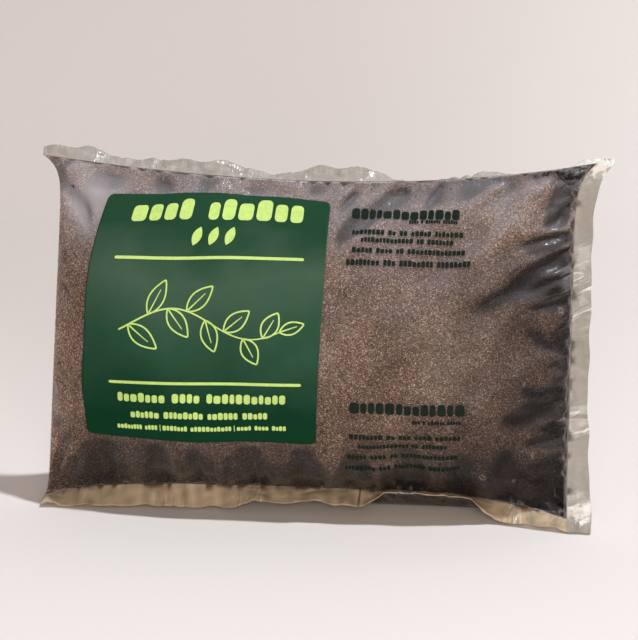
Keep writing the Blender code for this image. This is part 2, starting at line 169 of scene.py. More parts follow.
def bottom_fin_tilt(u):
    """Radians that the bottom fin leans forward from hanging straight down."""
    turned_up_once = smooth_step(-0.32, -0.12, u) * (1 - smooth_step(0.62, 0.78, u))
    turned_up_again = smooth_step(0.22, 0.36, u) * (1 - smooth_step(0.60, 0.72, u))
    rest_height = bottom_weld(u)[1] - FLOOR_CLEARANCE
    hanging = np.arccos(np.minimum(rest_height / BOTTOM_FIN, 1.0)) + 0.05 * (1 + np.sin(23 * u))
    return np.minimum(hanging + (turned_up_once + turned_up_again) * FIN_RAISE, FIN_HIGHEST_TILT)


def top_fin_tilt(u):
    """Radians that the top fin leans back from standing straight up."""
    folded_back = smooth_step(0.10, 0.45, u) * (1 - smooth_step(0.85, 1.0, u))
    bend = 2 * np.pi * (u * BODY_LENGTH / 2 - TOP_FIN_FIRST_BEND) / TOP_FIN_WAVE
    return TOP_FIN_LEAN - TOP_FIN_SWAY * np.cos(bend) + TOP_FIN_FOLD * folded_back


def fold_place(t):
    """The folded end's x: a slight lean and an ear at its top and its foot."""
    ear = np.where(t > 0.5, FOLD_TOP_EAR, FOLD_FOOT_EAR)
    return -BODY_LENGTH / 2 + FOLD_LEAN * (t - 0.5) - ear * np.abs(2 * t - 1) ** 14


def weld_place(t):
    """The right end's weld's x, which flares out at its top."""
    return BODY_LENGTH / 2 + WELD_FLARE * np.maximum(2 * t - 1, 0.0) ** 10


def smooth_bag(side, u, t):
    """A point of the full bag with no wrinkles, from where it lies along (u) and up (t)."""
    y, z = section(side, u, t)
    angle = mix(bottom_fin_tilt(u), top_fin_tilt(u), t)
    y = y + np.cos(angle) * side * LAYER_HALF
    z = z - np.sin(angle) * side * LAYER_HALF
    x = mix(fold_place(t), weld_place(t), (u + 1) / 2)
    return np.stack([x, y, np.maximum(z, 0.0)], axis=-1) + STAND


def outward(side, u, t):
    """The outward direction: the cross product of the steps along u and along t."""
    step = 0.004
    u0, u1 = np.maximum(u - step, -1.0), np.minimum(u + step, 1.0)
    t0, t1 = np.maximum(t - step, 0.0), np.minimum(t + step, 1.0)
    along = smooth_bag(side, u1, t) - smooth_bag(side, u0, t)
    up = smooth_bag(side, u, t1) - smooth_bag(side, u, t0)
    normal = np.cross(along, up) * -side
    length = np.linalg.norm(normal, axis=-1, keepdims=True)
    return normal / np.maximum(length, 1e-12)


u_try, t_try = np.meshgrid(np.linspace(-1, 1, 60), np.linspace(0, 1, 40))
depth_try = smooth_bag(BACK, u_try, t_try)[..., 1] - smooth_bag(FRONT, u_try, t_try)[..., 1]
print("full bag: depth", round(float(depth_try.max()), 3))

# %% [markdown]
# ## Wrinkles
#
# Film can't stretch, so where it is welded straight while the bag swells, the spare film runs into
# gathers. A crease is a stroke, a valley with a low ridge beside it. A row of puckers is a wave of
# round bulges and sharp valleys along a weld. The wide gathers and the big creases are the solid
# model's own. The finer ones are added here, by the same kind of formula, and every vertex of the
# film then moves along its normal by the sum. The label keeps the film under it flat.

# %% Creases, puckers and lumps


def ripple(a, b, wavelength, seed, count=9):
    """Soft noise: the sum of sine waves in random directions, all near one wavelength."""
    draw = np.random.default_rng(seed)
    total = np.zeros_like(a)
    for _ in range(count):
        angle, phase = draw.uniform(0, 2 * np.pi, 2)
        reach = 2 * np.pi / (wavelength * draw.uniform(0.75, 1.35))
        total += np.sin(reach * (a * np.cos(angle) + b * np.sin(angle)) + phase)
    return total / np.sqrt(count)


def stroke(x, z, start, end, depth, half_width):
    """-exp(-(d/w)^2) across, with a ridge 1.7 w to one side, and 1 - s^2 along its length."""
    run = np.subtract(end, start)
    length = np.hypot(*run)
    along = ((x - start[0]) * run[0] + (z - start[1]) * run[1]) / length
    beside = ((x - start[0]) * run[1] - (z - start[1]) * run[0]) / length
    share = np.clip(along / length, 0.0, 1.0)
    past = np.maximum(along - length, 0.0) + np.maximum(-along, 0.0)
    width = half_width * (0.7 + 0.6 * share)
    valley = np.exp(-((beside / width) ** 2))
    ridge = 0.55 * np.exp(-(((beside - 1.7 * width) / width) ** 2))
    fade = (1 - share**2) * np.exp(-((past / half_width) ** 2))
    return depth * fade * (ridge - valley)


def puckers(along, away, spacing, reach, depth, seed):
    """|cos| of a wandering phase, less 1, so 0 on bulges and -1 in sharp valleys, times exp(-away)."""
    wander = 1.1 * ripple(along, away, 3.5 * spacing, seed) + 0.5 * ripple(along, away, spacing, seed + 1)
    uneven = 0.65 + 0.45 * ripple(along, away * 0, 2.2 * spacing, seed + 2)
    valley = 1 - np.abs(np.cos(np.pi * along / spacing + wander))
    return -depth * np.clip(uneven, 0.1, 1.5) * valley * np.exp(-away / reach)


# The model's own creases: start and end as (x, z) from the middle of the body's length and the
# floor, then depth and half width. A negative depth makes a ridge
MAIN_CREASES = (
    ((0.232, 0.276), (0.206, 0.262), 0.0060, 0.0075),
    ((0.231, 0.237), (0.148, 0.196), 0.0060, 0.0080),
    ((0.229, 0.107), (0.170, 0.096), 0.0046, 0.0070),
    ((0.212, 0.301), (0.144, 0.266), -0.0042, 0.0085),
    ((0.206, 0.289), (0.134, 0.224), -0.0048, 0.0100),
    ((0.081, 0.296), (0.016, 0.244), 0.0050, 0.0075),
    ((-0.196, 0.261), (-0.233, 0.298), 0.0045, 0.0070),
    ((-0.222, 0.022), (-0.202, 0.072), 0.0050, 0.0070),
    ((-0.010, 0.022), (-0.004, 0.074), 0.0050, 0.0070),
)
# Finer ones, the same way but from the model's origin
FINE_CREASES = (
    # from the right weld
    ((0.226, 0.290), (0.212, 0.268), 0.0030, 0.0040),
    ((0.225, 0.262), (0.172, 0.252), 0.0034, 0.0040),
    ((0.224, 0.246), (0.168, 0.222), 0.0030, 0.0036),
    ((0.224, 0.226), (0.180, 0.209), 0.0034, 0.0040),
    ((0.224, 0.203), (0.182, 0.197), 0.0030, 0.0036),
    ((0.224, 0.150), (0.190, 0.147), 0.0018, 0.0036),
    ((0.225, 0.124), (0.184, 0.124), 0.0026, 0.0034),
    ((0.225, 0.114), (0.180, 0.112), 0.0026, 0.0032),
    ((0.225, 0.081), (0.184, 0.075), 0.0030, 0.0036),
    ((0.225, 0.064), (0.186, 0.054), 0.0030, 0.0040),
    ((0.222, 0.040), (0.190, 0.046), 0.0026, 0.0036),
    # under the top weld
    ((0.160, 0.300), (0.118, 0.272), -0.0020, 0.0055),
    ((0.027, 0.292), (0.009, 0.272), 0.0028, 0.0036),
    ((0.106, 0.300), (0.090, 0.276), 0.0020, 0.0036),
    # beside the label
    ((-0.004, 0.072), (0.008, 0.150), 0.0012, 0.0036),
    ((-0.240, 0.205), (-0.224, 0.188), 0.0020, 0.0032),
    ((-0.243, 0.120), (-0.228, 0.108), 0.0018, 0.0032),
    ((-0.248, 0.036), (-0.227, 0.080), 0.0036, 0.0046),
    # from the bottom weld
    ((-0.206, 0.020), (-0.203, 0.060), 0.0030, 0.0036),
    ((-0.194, 0.020), (-0.190, 0.066), 0.0034, 0.0036),
    ((-0.110, 0.020), (-0.113, 0.066), 0.0034, 0.0038),
    ((-0.097, 0.020), (-0.094, 0.058), 0.0028, 0.0034),
    ((-0.086, 0.020), (-0.080, 0.060), 0.0030, 0.0034),
    ((-0.060, 0.020), (-0.058, 0.066), 0.0034, 0.0036),
    ((-0.048, 0.020), (-0.050, 0.056), 0.0026, 0.0032),
    ((0.003, 0.020), (0.008, 0.064), 0.0034, 0.0038),
    ((0.052, 0.020), (0.047, 0.068), 0.0034, 0.0040),
    ((0.064, 0.020), (0.062, 0.056), 0.0026, 0.0034),
    ((0.076, 0.020), (0.073, 0.060), 0.0030, 0.0036),
    ((0.131, 0.020), (0.126, 0.056), 0.0030, 0.0040),
)
# Rows of puckers: the edge they start at, then their spacing, reach, depth and seed
PUCKER_ROWS = (
    ("bottom", 0.0110, 0.014, 0.0020, 51),
    ("bottom", 0.0240, 0.026, 0.0026, 55),
    ("top", 0.0130, 0.010, 0.0012, 59),
    ("top", 0.0300, 0.022, 0.0016, 63),
    ("right", 0.0120, 0.018, 0.0018, 67),
    ("right", 0.0270, 0.034, 0.0024, 71),
    ("left", 0.0180, 0.014, 0.0010, 75),
)
GATHER_SPACING, GATHER_WANDER = 0.047, 0.9
BOTTOM_GATHER_DEPTH, BOTTOM_GATHER_REACH = 0.0060, 0.042
TOP_GATHER_DEPTH, TOP_GATHER_REACH = 0.0022, 0.030
END_GATHER_SPACING, END_GATHER_DEPTH, END_GATHER_REACH = 0.040, 0.0030, 0.040
LUMP_HEIGHT = 0.0012
BODY_LEFT, BODY_RIGHT = BODY_LENGTH / 2 * np.array([-1, 1]) + STAND[0]
LABEL_LOW, LABEL_HIGH = 0.0727, 0.2880
LABEL_LEFT, LABEL_RIGHT = -0.2130, 0.0018  # at the label's lower edge


def label_cover(x, z):
    """1 under the label, which keeps the film flat, falling to 0 outside it."""
    outside = np.maximum(LABEL_LEFT - x, x - LABEL_RIGHT - 0.008)
    above = np.maximum(LABEL_LOW - z, z - LABEL_HIGH)
    return 1 - smooth_step(-0.004, 0.008, np.maximum(outside, above))


def lumps(side, x, z):
    """The compost's own soft swells and hollows, as three crossing waves."""
    turn = 2 * np.pi
    waves = np.sin(turn * (x + 0.6 * z) / 0.131 + 1.7 * side)
    waves += np.sin(turn * (z - 0.5 * x) / 0.097 + 0.8 * side)
    return LUMP_HEIGHT * (waves + 0.6 * np.sin(turn * (0.9 * x - z) / 0.071 + 2.9 * side))


def gathers(side, x, z):
    """How deep the wide gathers press in, from the welds that pull them."""
    wander = GATHER_WANDER * np.sin(2 * np.pi * x / 0.137 + side)
    wave = 0.5 + 0.5 * np.cos(2 * np.pi * x / GATHER_SPACING + wander)
    low = BOTTOM_GATHER_DEPTH * np.exp(-(((z - BOTTOM_WELD_HEIGHT) / BOTTOM_GATHER_REACH) ** 2))
    high = TOP_GATHER_DEPTH * np.exp(-(((z - WELD_HEIGHT) / TOP_GATHER_REACH) ** 2))
    end_wave = 0.5 + 0.5 * np.cos(2 * np.pi * z / END_GATHER_SPACING + side)
    end = END_GATHER_DEPTH * np.exp(-(((BODY_LENGTH / 2 - x) / END_GATHER_REACH) ** 2))
    return wave * (low + high) + end_wave * end


def main_crease(x, z, start, end, depth, half_width):
    """depth (1 - s^2) exp(-(d/w)^2): s runs along the crease, and d is the distance from it."""
    run = np.subtract(end, start)
    share = np.clip(((x - start[0]) * run[0] + (z - start[1]) * run[1]) / (run @ run), 0.0, 1.0)
    away = np.hypot(x - start[0] - run[0] * share, z - start[1] - run[1] * share)
    return depth * (1 - share**2) * np.exp(-((away / half_width) ** 2))


def main_relief(side, point, u, t):
    """The model's own relief, outwards: lumps, gathers and main creases."""
    x, z = point[..., 0] - STAND[0], point[..., 2]
    pressed = gathers(side, x, z)
    if side == FRONT:
        for crease in MAIN_CREASES:
            pressed = pressed + main_crease(x, z, *crease)
        pressed = pressed * (1 - label_cover(point[..., 0], z))
    free = smooth_step(0.0, 0.06, t) * smooth_step(0.0, 0.04, 1 - t)
    free = free * smooth_step(0.0, 0.05, 1 - np.abs(u)) * smooth_step(0.0, 0.030, z)
    return (lumps(side, x, z) - pressed) * free


def from_edges(side, x, t):
    """The distance from each edge of the bag. The back is twice as long from its foot up."""
    return {
        "bottom": t * WELD_HEIGHT * (1.0 if side == FRONT else 2.0),
        "top": (1 - t) * WELD_HEIGHT,
        "right": np.maximum(BODY_RIGHT - x, 0.0),
        "left": np.maximum(x - BODY_LEFT, 0.0),
    }


def fine_relief(side, point, u, t):
    """Finer creases and puckers than the model's own."""
    x, z = point[..., 0], point[..., 2]
    total = 0.0005 * ripple(x, z, 0.040, 41 + side)
    if side == FRONT:
        for crease in FINE_CREASES:
            total += stroke(x, z, *crease)
    away = from_edges(side, x, t)
    for edge, spacing, reach, depth, seed in PUCKER_ROWS:
        along = z if edge in ("right", "left") else x
        total += puckers(along, away[edge], spacing, reach, depth, seed + side)
    if side == FRONT:
        total *= 1 - 0.92 * label_cover(x, z)
    free = smooth_step(0.0, 0.022, t) * smooth_step(0.0, 0.020, 1 - t)
    return total * free * smooth_step(0.0, 0.020, 1 - np.abs(u)) * smooth_step(0.0, 0.020, z)


def streak_masks(side, x, z, t):
    """Where fine folds run up from the long welds, and where they run in from the right one."""
    away = from_edges(side, x, t)
    bunched = np.clip(0.60 + 0.60 * ripple(x, x * 0, 0.055, 95), 0.0, 1.2)
    upward = bunched * np.exp(-away["bottom"] / 0.026) + 0.55 * np.exp(-away["top"] / 0.018)
    bunched = np.clip(0.60 + 0.55 * ripple(z, z * 0, 0.060, 96), 0.0, 1.2)
    inward = bunched * np.exp(-away["right"] / 0.030)
    bare = 1 - label_cover(x, z) if side == FRONT else 1.0
    return {"upward": np.clip(upward * bare, 0, 1), "inward": np.clip(inward * bare, 0, 1)}


def bag_surface(side, u, t):
    """The full bag moved along its normals by both kinds of relief."""
    point = smooth_bag(side, u, t)
    stands = main_relief(side, point, u, t) + fine_relief(side, point, u, t)
    moved = point + outward(side, u, t) * stands[..., None]
    moved[..., 2] = np.maximum(moved[..., 2], 0.0)
    return moved


print("creases", len(MAIN_CREASES) + len(FINE_CREASES))

# %% [markdown]
# ## Meshes from grids
#
# Film and compost are each a front grid and a back grid of the same size, joined all round their
# rims into one closed surface. The faces are numbered with whole arrays too.

# %% Grid meshes
SOURCE = bpy.context.scene.collection


def grid_faces(rows, columns, start=0, flipped=False):
    """Four corners a cell: (j, i), (j, i+1), (j+1, i+1), (j+1, i)."""
    corner = start + (np.arange(rows - 1)[:, None] * columns + np.arange(columns - 1)[None, :])
    faces = np.stack([corner, corner + 1, corner + columns + 1, corner + columns], axis=-1)
    faces = faces.reshape(-1, 4)
    return faces[:, ::-1] if flipped else faces


def rim(rows, columns, start=0):
    """The vertex numbers round a grid's rim, bottom, right, top and left."""
    number = start + np.arange(rows * columns).reshape(rows, columns)
    return np.concatenate(
        [number[0, :-1], number[:-1, -1], number[-1, :0:-1], number[:0:-1, 0]]
    )


def mesh_object(name, vertices, faces):
    """A smooth-shaded object at the origin, from whole arrays of vertices and faces."""
    mesh = bpy.data.meshes.new(name)
    mesh.from_pydata(vertices.reshape(-1, 3), [], faces.tolist())
    mesh.shade_smooth()
    mesh.update()
    thing = bpy.data.objects.new(name, mesh)
    SOURCE.objects.link(thing)
    return thing


def closed_pair(name, front, back):
    """One closed surface from a front grid and a back grid, bridged round their rims."""
    rows, columns = front.shape[:2]
    count = rows * columns
    front_rim, back_rim = rim(rows, columns), rim(rows, columns, count)
    bridge = np.stack(
        [np.roll(front_rim, -1), front_rim, back_rim, np.roll(back_rim, -1)], axis=-1
    )
    faces = np.concatenate(
        [grid_faces(rows, columns), grid_faces(rows, columns, count, True), bridge]
    )
    vertices = np.concatenate([front.reshape(-1, 3), back.reshape(-1, 3)])
    return mesh_object(name, vertices, faces)


def point_values(thing, front, back):
    """Stores numbers for each vertex, by name, for a material to read."""
    for name in front:
        layer = thing.data.attributes.new(name, "FLOAT", "POINT")
        both = np.concatenate([front[name].ravel(), back[name].ravel()])
        layer.data.foreach_set("value", both.astype(np.float32))


def triangles(thing):
    thing.data.calc_loop_triangles()
    return len(thing.data.loop_triangles)


def crowded(count, ends):
    """Numbers from 0 to 1 that lie closer together near both ends: (1-k)s + k(1-cos(pi s))/2."""
    s = np.linspace(0.0, 1.0, count)
    return mix(s, (1 - np.cos(np.pi * s)) / 2, ends)


# %% [markdown]
# ## One grid that everything lies on
#
# The wrinkles are worked out once, on a grid for the front and one for the back. Whatever lies on
# the film or just behind it is then placed by mixing the four grid points round it, which costs
# little and keeps the pieces from parting or crossing.

# %% The wrinkled film as a grid
BODY_COLUMNS, BODY_ROWS = 268, 146
U_LINE = 2 * crowded(BODY_COLUMNS + 1, 0.35) - 1
T_LINE = crowded(BODY_ROWS + 1, 0.35)
U_GRID, T_GRID = np.meshgrid(U_LINE, T_LINE)


def grid_normals(side, grid):
    """The outward direction at each point of a grid, from its neighbours on both sides."""
    along, up = np.gradient(grid, axis=1), np.gradient(grid, axis=0)
    normal = np.cross(along, up) * -side
    return normal / np.maximum(np.linalg.norm(normal, axis=-1, keepdims=True), 1e-12)


FILM = {side: bag_surface(side, U_GRID, T_GRID) for side in (FRONT, BACK)}
NORMALS = {side: grid_normals(side, FILM[side]) for side in (FRONT, BACK)}
print("wrinkled film, rows and columns", FILM[FRONT].shape[:2])


def between(grid, u, t):
    """A value between the grid's points at (u, t), mixed from the four round it."""
    column = np.interp(u, U_LINE, np.arange(len(U_LINE)))
    row = np.interp(t, T_LINE, np.arange(len(T_LINE)))
    i = np.minimum(column.astype(int), len(U_LINE) - 2)
    j = np.minimum(row.astype(int), len(T_LINE) - 2)
    a, b = (column - i)[..., None], (row - j)[..., None]
    low, high = mix(grid[j, i], grid[j, i + 1], a), mix(grid[j + 1, i], grid[j + 1, i + 1], a)
    return mix(low, high, b)


def on_film(side, u, t, raised):
    """Points on the wrinkled film, raised off it along its normals."""
    normal = between(NORMALS[side], u, t)
    normal /= np.maximum(np.linalg.norm(normal, axis=-1, keepdims=True), 1e-12)
    point = between(FILM[side], u, t) + normal * np.asarray(raised)[..., None]
    point[..., 2] = np.maximum(point[..., 2], np.maximum(-np.asarray(raised), 0.0))
    return point


# %% [markdown]
# ## The film
#
# The film runs on past the welds as flat fins of two layers. A fin isn't held by the filling, so
# it crumples on its own: folds and soft noise move both of its layers sideways together, more so
# the further they are from the weld. Its loose edge wanders a little in the fin's own plane.
#
# Each vertex also carries a few numbers for the material. They say how milky the film is there,
# where a painted sheen lies on it, where compost is caught in it, which fin it is on, and where
# fine folds run.

# %% Film
RIGHT_COLUMNS, BOTTOM_ROWS, TOP_ROWS = 16, 14, 10
FIN_FOLD_SPACING, FIN_FOLD_HEIGHT = 0.019, 0.0028
# How much a fin's loose edge wanders, as a share of its width, over what length, and the seed
BOTTOM_FIN_EDGE, TOP_FIN_EDGE, RIGHT_FIN_EDGE = (0.05, 0.050, 61), (0.12, 0.040, 65), (0.06, 0.045, 69)
BOTTOM_CRUMPLE = 0.9
PRESSED_SOIL = 1.1
# The upward, corner and top amounts are a painted sheen; the body's own and the fins' are milkiness
BODY_HAZE, UPWARD_PAINTED_SHEEN, CORNER_PAINTED_SHEEN, TOP_PAINTED_SHEEN = 0.010, 0.13, 0.26, 0.05
BOTTOM_FIN_HAZE, RIGHT_FIN_HAZE, TOP_FIN_HAZE = 0.58, 0.13, 0.14


def fin_crumple(along, out, seed):
    """Sideways crumple of a fin, from 0 at its weld to full at its loose edge."""
    big = 0.0014 * ripple(along, out * 0.6, 0.034, seed)
    phase = np.pi * along / FIN_FOLD_SPACING + 1.6 * ripple(along, out * 0.8, 0.050, seed + 1)
    uneven = np.clip(0.5 + 0.7 * ripple(along, out, 0.040, seed + 2), 0.0, 1.6)
    folds = FIN_FOLD_HEIGHT * uneven * (0.4 - np.abs(np.cos(phase)) ** 0.7)
    small = 0.0008 * (0.5 - np.abs(ripple(along, out * 0.7, 0.010, seed + 3)))
    return (big + folds + small) * np.minimum(out / 0.006, 1.0)


def fin_shape(along, width, out, wander, wavelength, seed):
    """How far each point of a fin stands out from its weld, and how far it is pushed sideways."""
    reach = width * (1 + wander * ripple(along, along * 0, wavelength, seed)) * out
    return reach, fin_crumple(along, reach, seed + 2)


def film_grid(side):
    """The film's grid: body columns and rows, then the fins past the body's ends."""
    u = np.concatenate([U_LINE, np.ones(RIGHT_COLUMNS)])
    t = np.concatenate([np.zeros(BOTTOM_ROWS), T_LINE, np.ones(TOP_ROWS)])
    right = np.concatenate([np.zeros(BODY_COLUMNS + 1), np.linspace(0, 1, RIGHT_COLUMNS + 1)[1:]])
    bottom = np.concatenate(
        [np.linspace(1, 0, BOTTOM_ROWS + 1)[:-1], np.zeros(BODY_ROWS + 1 + TOP_ROWS)]
    )
    top = np.concatenate(
        [np.zeros(BOTTOM_ROWS + BODY_ROWS + 1), np.linspace(0, 1, TOP_ROWS + 1)[1:]]
    )
    u, t = np.meshgrid(u, t)
    right, bottom = np.meshgrid(right, bottom)
    top = np.repeat(top[:, None], u.shape[1], axis=1)
    point = on_film(side, u, t, 0.0)
    x, z = point[..., 0], point[..., 2]
    tilt, lean = bottom_fin_tilt(u), top_fin_tilt(u)

    reach, sideways = fin_shape(x, BOTTOM_FIN, bottom, *BOTTOM_FIN_EDGE)
    sideways = sideways * BOTTOM_CRUMPLE
    point[..., 1] += -reach * np.sin(tilt) - sideways * np.cos(tilt)
    point[..., 2] += -reach * np.cos(tilt) + np.abs(sideways) * np.sin(tilt)

    width = TOP_FIN * (1 - TOP_FIN_EAR_LOSS * np.abs(u) ** 8)
    reach, sideways = fin_shape(x, width, top, *TOP_FIN_EDGE)
    point[..., 1] += reach * np.sin(lean) + sideways * np.cos(lean)
    point[..., 2] += reach * np.cos(lean) - sideways * np.sin(lean)

    width = RIGHT_FIN + RIGHT_FIN_FOOT * (1 - t) ** 6
    reach, sideways = fin_shape(z, width, right, *RIGHT_FIN_EDGE)
    flutter = RIGHT_FIN_FLUTTER * np.sin(34 * t + 1.0) * (1 - np.abs(2 * t - 1) ** 6)
    point[..., 0] += reach
    point[..., 1] += flutter * right + sideways
    point[..., 2] = np.maximum(point[..., 2], 0.0)
    values = {
        "haze_and_sheen": film_haze_and_sheen(side, point, right, bottom, top),
        "soil": np.maximum(
            caught_soil(point, right, bottom), pressed_soil(point, u, t) * (right + bottom + top == 0)
        ),
        "bottom_fin": bottom > 0,
        "right_fin": right > 0,
        "top_fin": (top > 0) & (right == 0),
    }
    return point, values | streak_masks(side, x, z, t)


def caught_soil(point, right, bottom):
    """Where a little compost is caught in the fins, next to their welds."""
    x, z = point[..., 0], point[..., 2]
    low = (bottom > 0) * (1 - smooth_step(0.05, 0.40 + 0.25 * ripple(x, x * 0, 0.021, 97), bottom))
    low = low * smooth_step(-0.1, 0.7, ripple(x, x * 0, 0.013, 98))
    end = (right > 0) * (1 - smooth_step(0.02, 0.34 + 0.25 * ripple(z, z * 0, 0.026, 99), right))
    end = end * smooth_step(0.0, 0.8, ripple(z, z * 0, 0.017, 94))
    return np.maximum(low, end)


def pressed_soil(point, u, t):
    """Where compost is pressed into the narrow gap just inside the welds."""
    ragged = 1 + 0.5 * ripple(point[..., 0], point[..., 2], 0.012, 96)
    right = smooth_step(0.008, 0.003, (1 - u) * ragged)
    along = smooth_step(0.006, 0.002, np.minimum(t, 1 - t) * ragged)
    return PRESSED_SOIL * np.maximum(right, along)


def corner_patch(x, z):
    """1 at the top left corner of the bag, fading to 0 around it."""
    return np.exp(-(((x + 0.217) / 0.032) ** 2) - ((z - 0.284) / 0.032) ** 2)


def film_haze_and_sheen(side, point, right, bottom, top):
    """Milkiness where the film is doubled, and a painted sheen where it faces up, at its top and corner.
    """
    x, z = point[..., 0], point[..., 2]
    upward = grid_normals(side, point)[..., 2]
    height_share = mix(0.35, 1.0, smooth_step(0.17, 0.27, z))
    # painted sheen where the film faces up
    body = BODY_HAZE + UPWARD_PAINTED_SHEEN * smooth_step(0.08, 0.88, upward) * height_share
    body = body * (0.9 + 0.12 * ripple(x, z, 0.022, 81))
    if side == FRONT:
        # painted sheen at the top left corner and along the top
        body = body + CORNER_PAINTED_SHEEN * corner_patch(x, z) + TOP_PAINTED_SHEEN * smooth_step(0.255, 0.285, z)
    haze_and_sheen = np.where(top > 0, TOP_FIN_HAZE * (1 + 0.35 * ripple(x, z, 0.010, 83)), body)
    haze_and_sheen = np.where(right > 0, RIGHT_FIN_HAZE * (1 + 0.40 * ripple(z, x, 0.010, 85)), haze_and_sheen)
    haze_and_sheen = np.where(bottom > 0, BOTTOM_FIN_HAZE * (1 + 0.22 * ripple(x, z, 0.014, 87)), haze_and_sheen)
    return np.clip(haze_and_sheen, 0.0, 1.0)


def make_film():
    """The front and back grids, fins included, joined round their rims."""
    front, values = film_grid(FRONT)
    back, back_values = film_grid(BACK)
    film = closed_pair("film_skin", front, back)
    point_values(film, values, back_values)
    return film


film = make_film()
print("film", triangles(film), "triangles")

# %% [markdown]
# ## The compost
#
# The compost fills the film to just short of the welds. Its surface is the film's, a little
# further in. Every vertex is also pushed in or out by a fraction of a grain, which roughens the
# silhouette that the material's finer grain then covers.
#
# The compost is darker towards its foot and its right end and paler at its folded left end. It has a
# painted shade in the film's creases and a painted highlight on their ridges, and a pale painted
# sheen where it faces up.

# %% Compost
COMPOST_COLUMNS, COMPOST_ROWS = 280, 160
COMPOST_INSET, EDGE_INSET = 0.0009, 0.0004  # over most of the bag, and at its ends
GRAIN_ROUGHNESS = 0.0003
WELD_MARGIN_ACROSS, WELD_MARGIN_UP = 0.002, 0.003  # as shares of u and t
FOOT_SHADE, END_SHADE, POCKET_SHADE, FOLD_SHADE = 0.42, 0.46, 0.55, 1.7
# painted shade in the film's creases and a painted highlight on their ridges
CREASE_PAINTED_SHADE, RIDGE_PAINTED_HIGHLIGHT, FINE_SHADE = 0.86, 0.30, 1.3
FOOT_ZONE, POCKET_ZONE, LOW_CREASE_ZONE = (0.040, 0.110), (0.028, 0.060), (0.030, 0.090)  # heights
END_ZONE, END_TOP_ZONE = (0.065, 0.190), (0.22, 0.28)
FOLD_REACH, BRIGHT_FOLD_REACH = 0.040, 0.045


def compost_shade(side, u, t):
    """Paleness: darker at the foot and right end, with painted shade in creases and highlight on ridges.
    """
    point = smooth_bag(side, u, t)
    x, z = point[..., 0], point[..., 2]
    uneven = 0.010 * ripple(x, z, 0.050, 91 + side)
    foot = (1 - smooth_step(*FOOT_ZONE, z + uneven)) * smooth_step(0.0, BRIGHT_FOLD_REACH, x - BODY_LEFT)
    pocket = 1 - smooth_step(*POCKET_ZONE, z + 0.010 * ripple(x, x * 0, 0.018, 93))
    fold = 1 - smooth_step(0.0, FOLD_REACH, x - BODY_LEFT)
    end = smooth_step(*END_ZONE, x + uneven) * (1 - smooth_step(*END_TOP_ZONE, z))
    shade = mix(1.0, FOOT_SHADE, foot) * mix(1.0, END_SHADE, end)
    shade = shade * mix(1.0, POCKET_SHADE, pocket) * mix(1.0, FOLD_SHADE, fold)
    relief = main_relief(side, point, u, t) - lumps(side, x - STAND[0], z)
    relief = relief + FINE_SHADE * fine_relief(side, point, u, t)
    # painted shade in the creases, and a painted highlight on their ridges
    crease = smooth_step(0.0008, 0.0028, -relief) * mix(0.55, 1.0, smooth_step(*LOW_CREASE_ZONE, z))
    shade = shade * (1 - CREASE_PAINTED_SHADE * crease)
    return shade * (1 + RIDGE_PAINTED_HIGHLIGHT * smooth_step(0.0004, 0.0026, relief))


def compost_painted_sheen(side, grid):
    """How much painted sheen lies on the compost: most where it faces up, and at the top left corner."""
    x, z = grid[..., 0], grid[..., 2]
    painted_sheen = smooth_step(0.05, 0.80, grid_normals(side, grid)[..., 2]) * smooth_step(0.12, 0.27, z)
    painted_sheen = painted_sheen * (0.9 + 0.15 * ripple(x, z, 0.020, 82))
    return np.clip(painted_sheen + 0.8 * corner_patch(x, z) * (side == FRONT), 0.0, 1.2)


def compost_values(side, grid, u, t):
    """The numbers that each vertex of the compost carries for its material."""
    numbers = {"shade": compost_shade(side, u, t), "painted_sheen": compost_painted_sheen(side, grid)}
    return numbers | streak_masks(side, grid[..., 0], grid[..., 2], t)


def make_compost():
    """Two grids just inside the film, kept from crossing where they meet near the welds."""
    u = (2 * crowded(COMPOST_COLUMNS + 1, 0.4) - 1) * (1 - WELD_MARGIN_ACROSS)
    t = WELD_MARGIN_UP + (1 - 2 * WELD_MARGIN_UP) * crowded(COMPOST_ROWS + 1, 0.4)
    u, t = np.meshgrid(u, t)
    draw = np.random.default_rng(5)
    sides = []
    for side in (FRONT, BACK):
        grain = draw.uniform(-1, 1, u.shape) * GRAIN_ROUGHNESS
        inset = mix(EDGE_INSET, COMPOST_INSET, smooth_step(0.0, 0.02, 1 - np.abs(u)))
        sides.append(on_film(side, u, t, grain * 0.7 - inset))
    front, back = sides
    values = [compost_values(side, grid, u, t) for side, grid in zip((FRONT, BACK), sides)]
    crossed = np.minimum(back[..., 1] - front[..., 1], 0.0)[..., None]
    front = front + crossed * np.array([0, 0.5, 0])
    back = back - crossed * np.array([0, 0.5, 0])
    compost = closed_pair("compost_fill", front, back)
    point_values(compost, *values)
    return compost


compost = make_compost()
print("compost", triangles(compost), "triangles")

# %% [markdown]
# ## The label
#
# The label is a sheet stuck to the front. To lay it on the bag, each of its points is given a
# place across and up, and the bag's two parameters are then solved for by halving the interval
# again and again, for all points at once. The label rides on the film's own surface, so it bends
# with it.

# %% Laying shapes on the bag's front
LABEL_LIFT = 0.0007
LABEL_WALL = 0.00025
LABEL_COLUMNS, LABEL_ROWS = 110, 120
LABEL_CORNER = 0.018  # as a share of its width and of its height
LEFT_BOW, LEFT_TURN, RIGHT_LEAN = 0.0040, 0.016, 0.0057
LOW_RISE, HIGH_BOW, HIGH_DROP = 0.0031, 0.0015, 0.0035


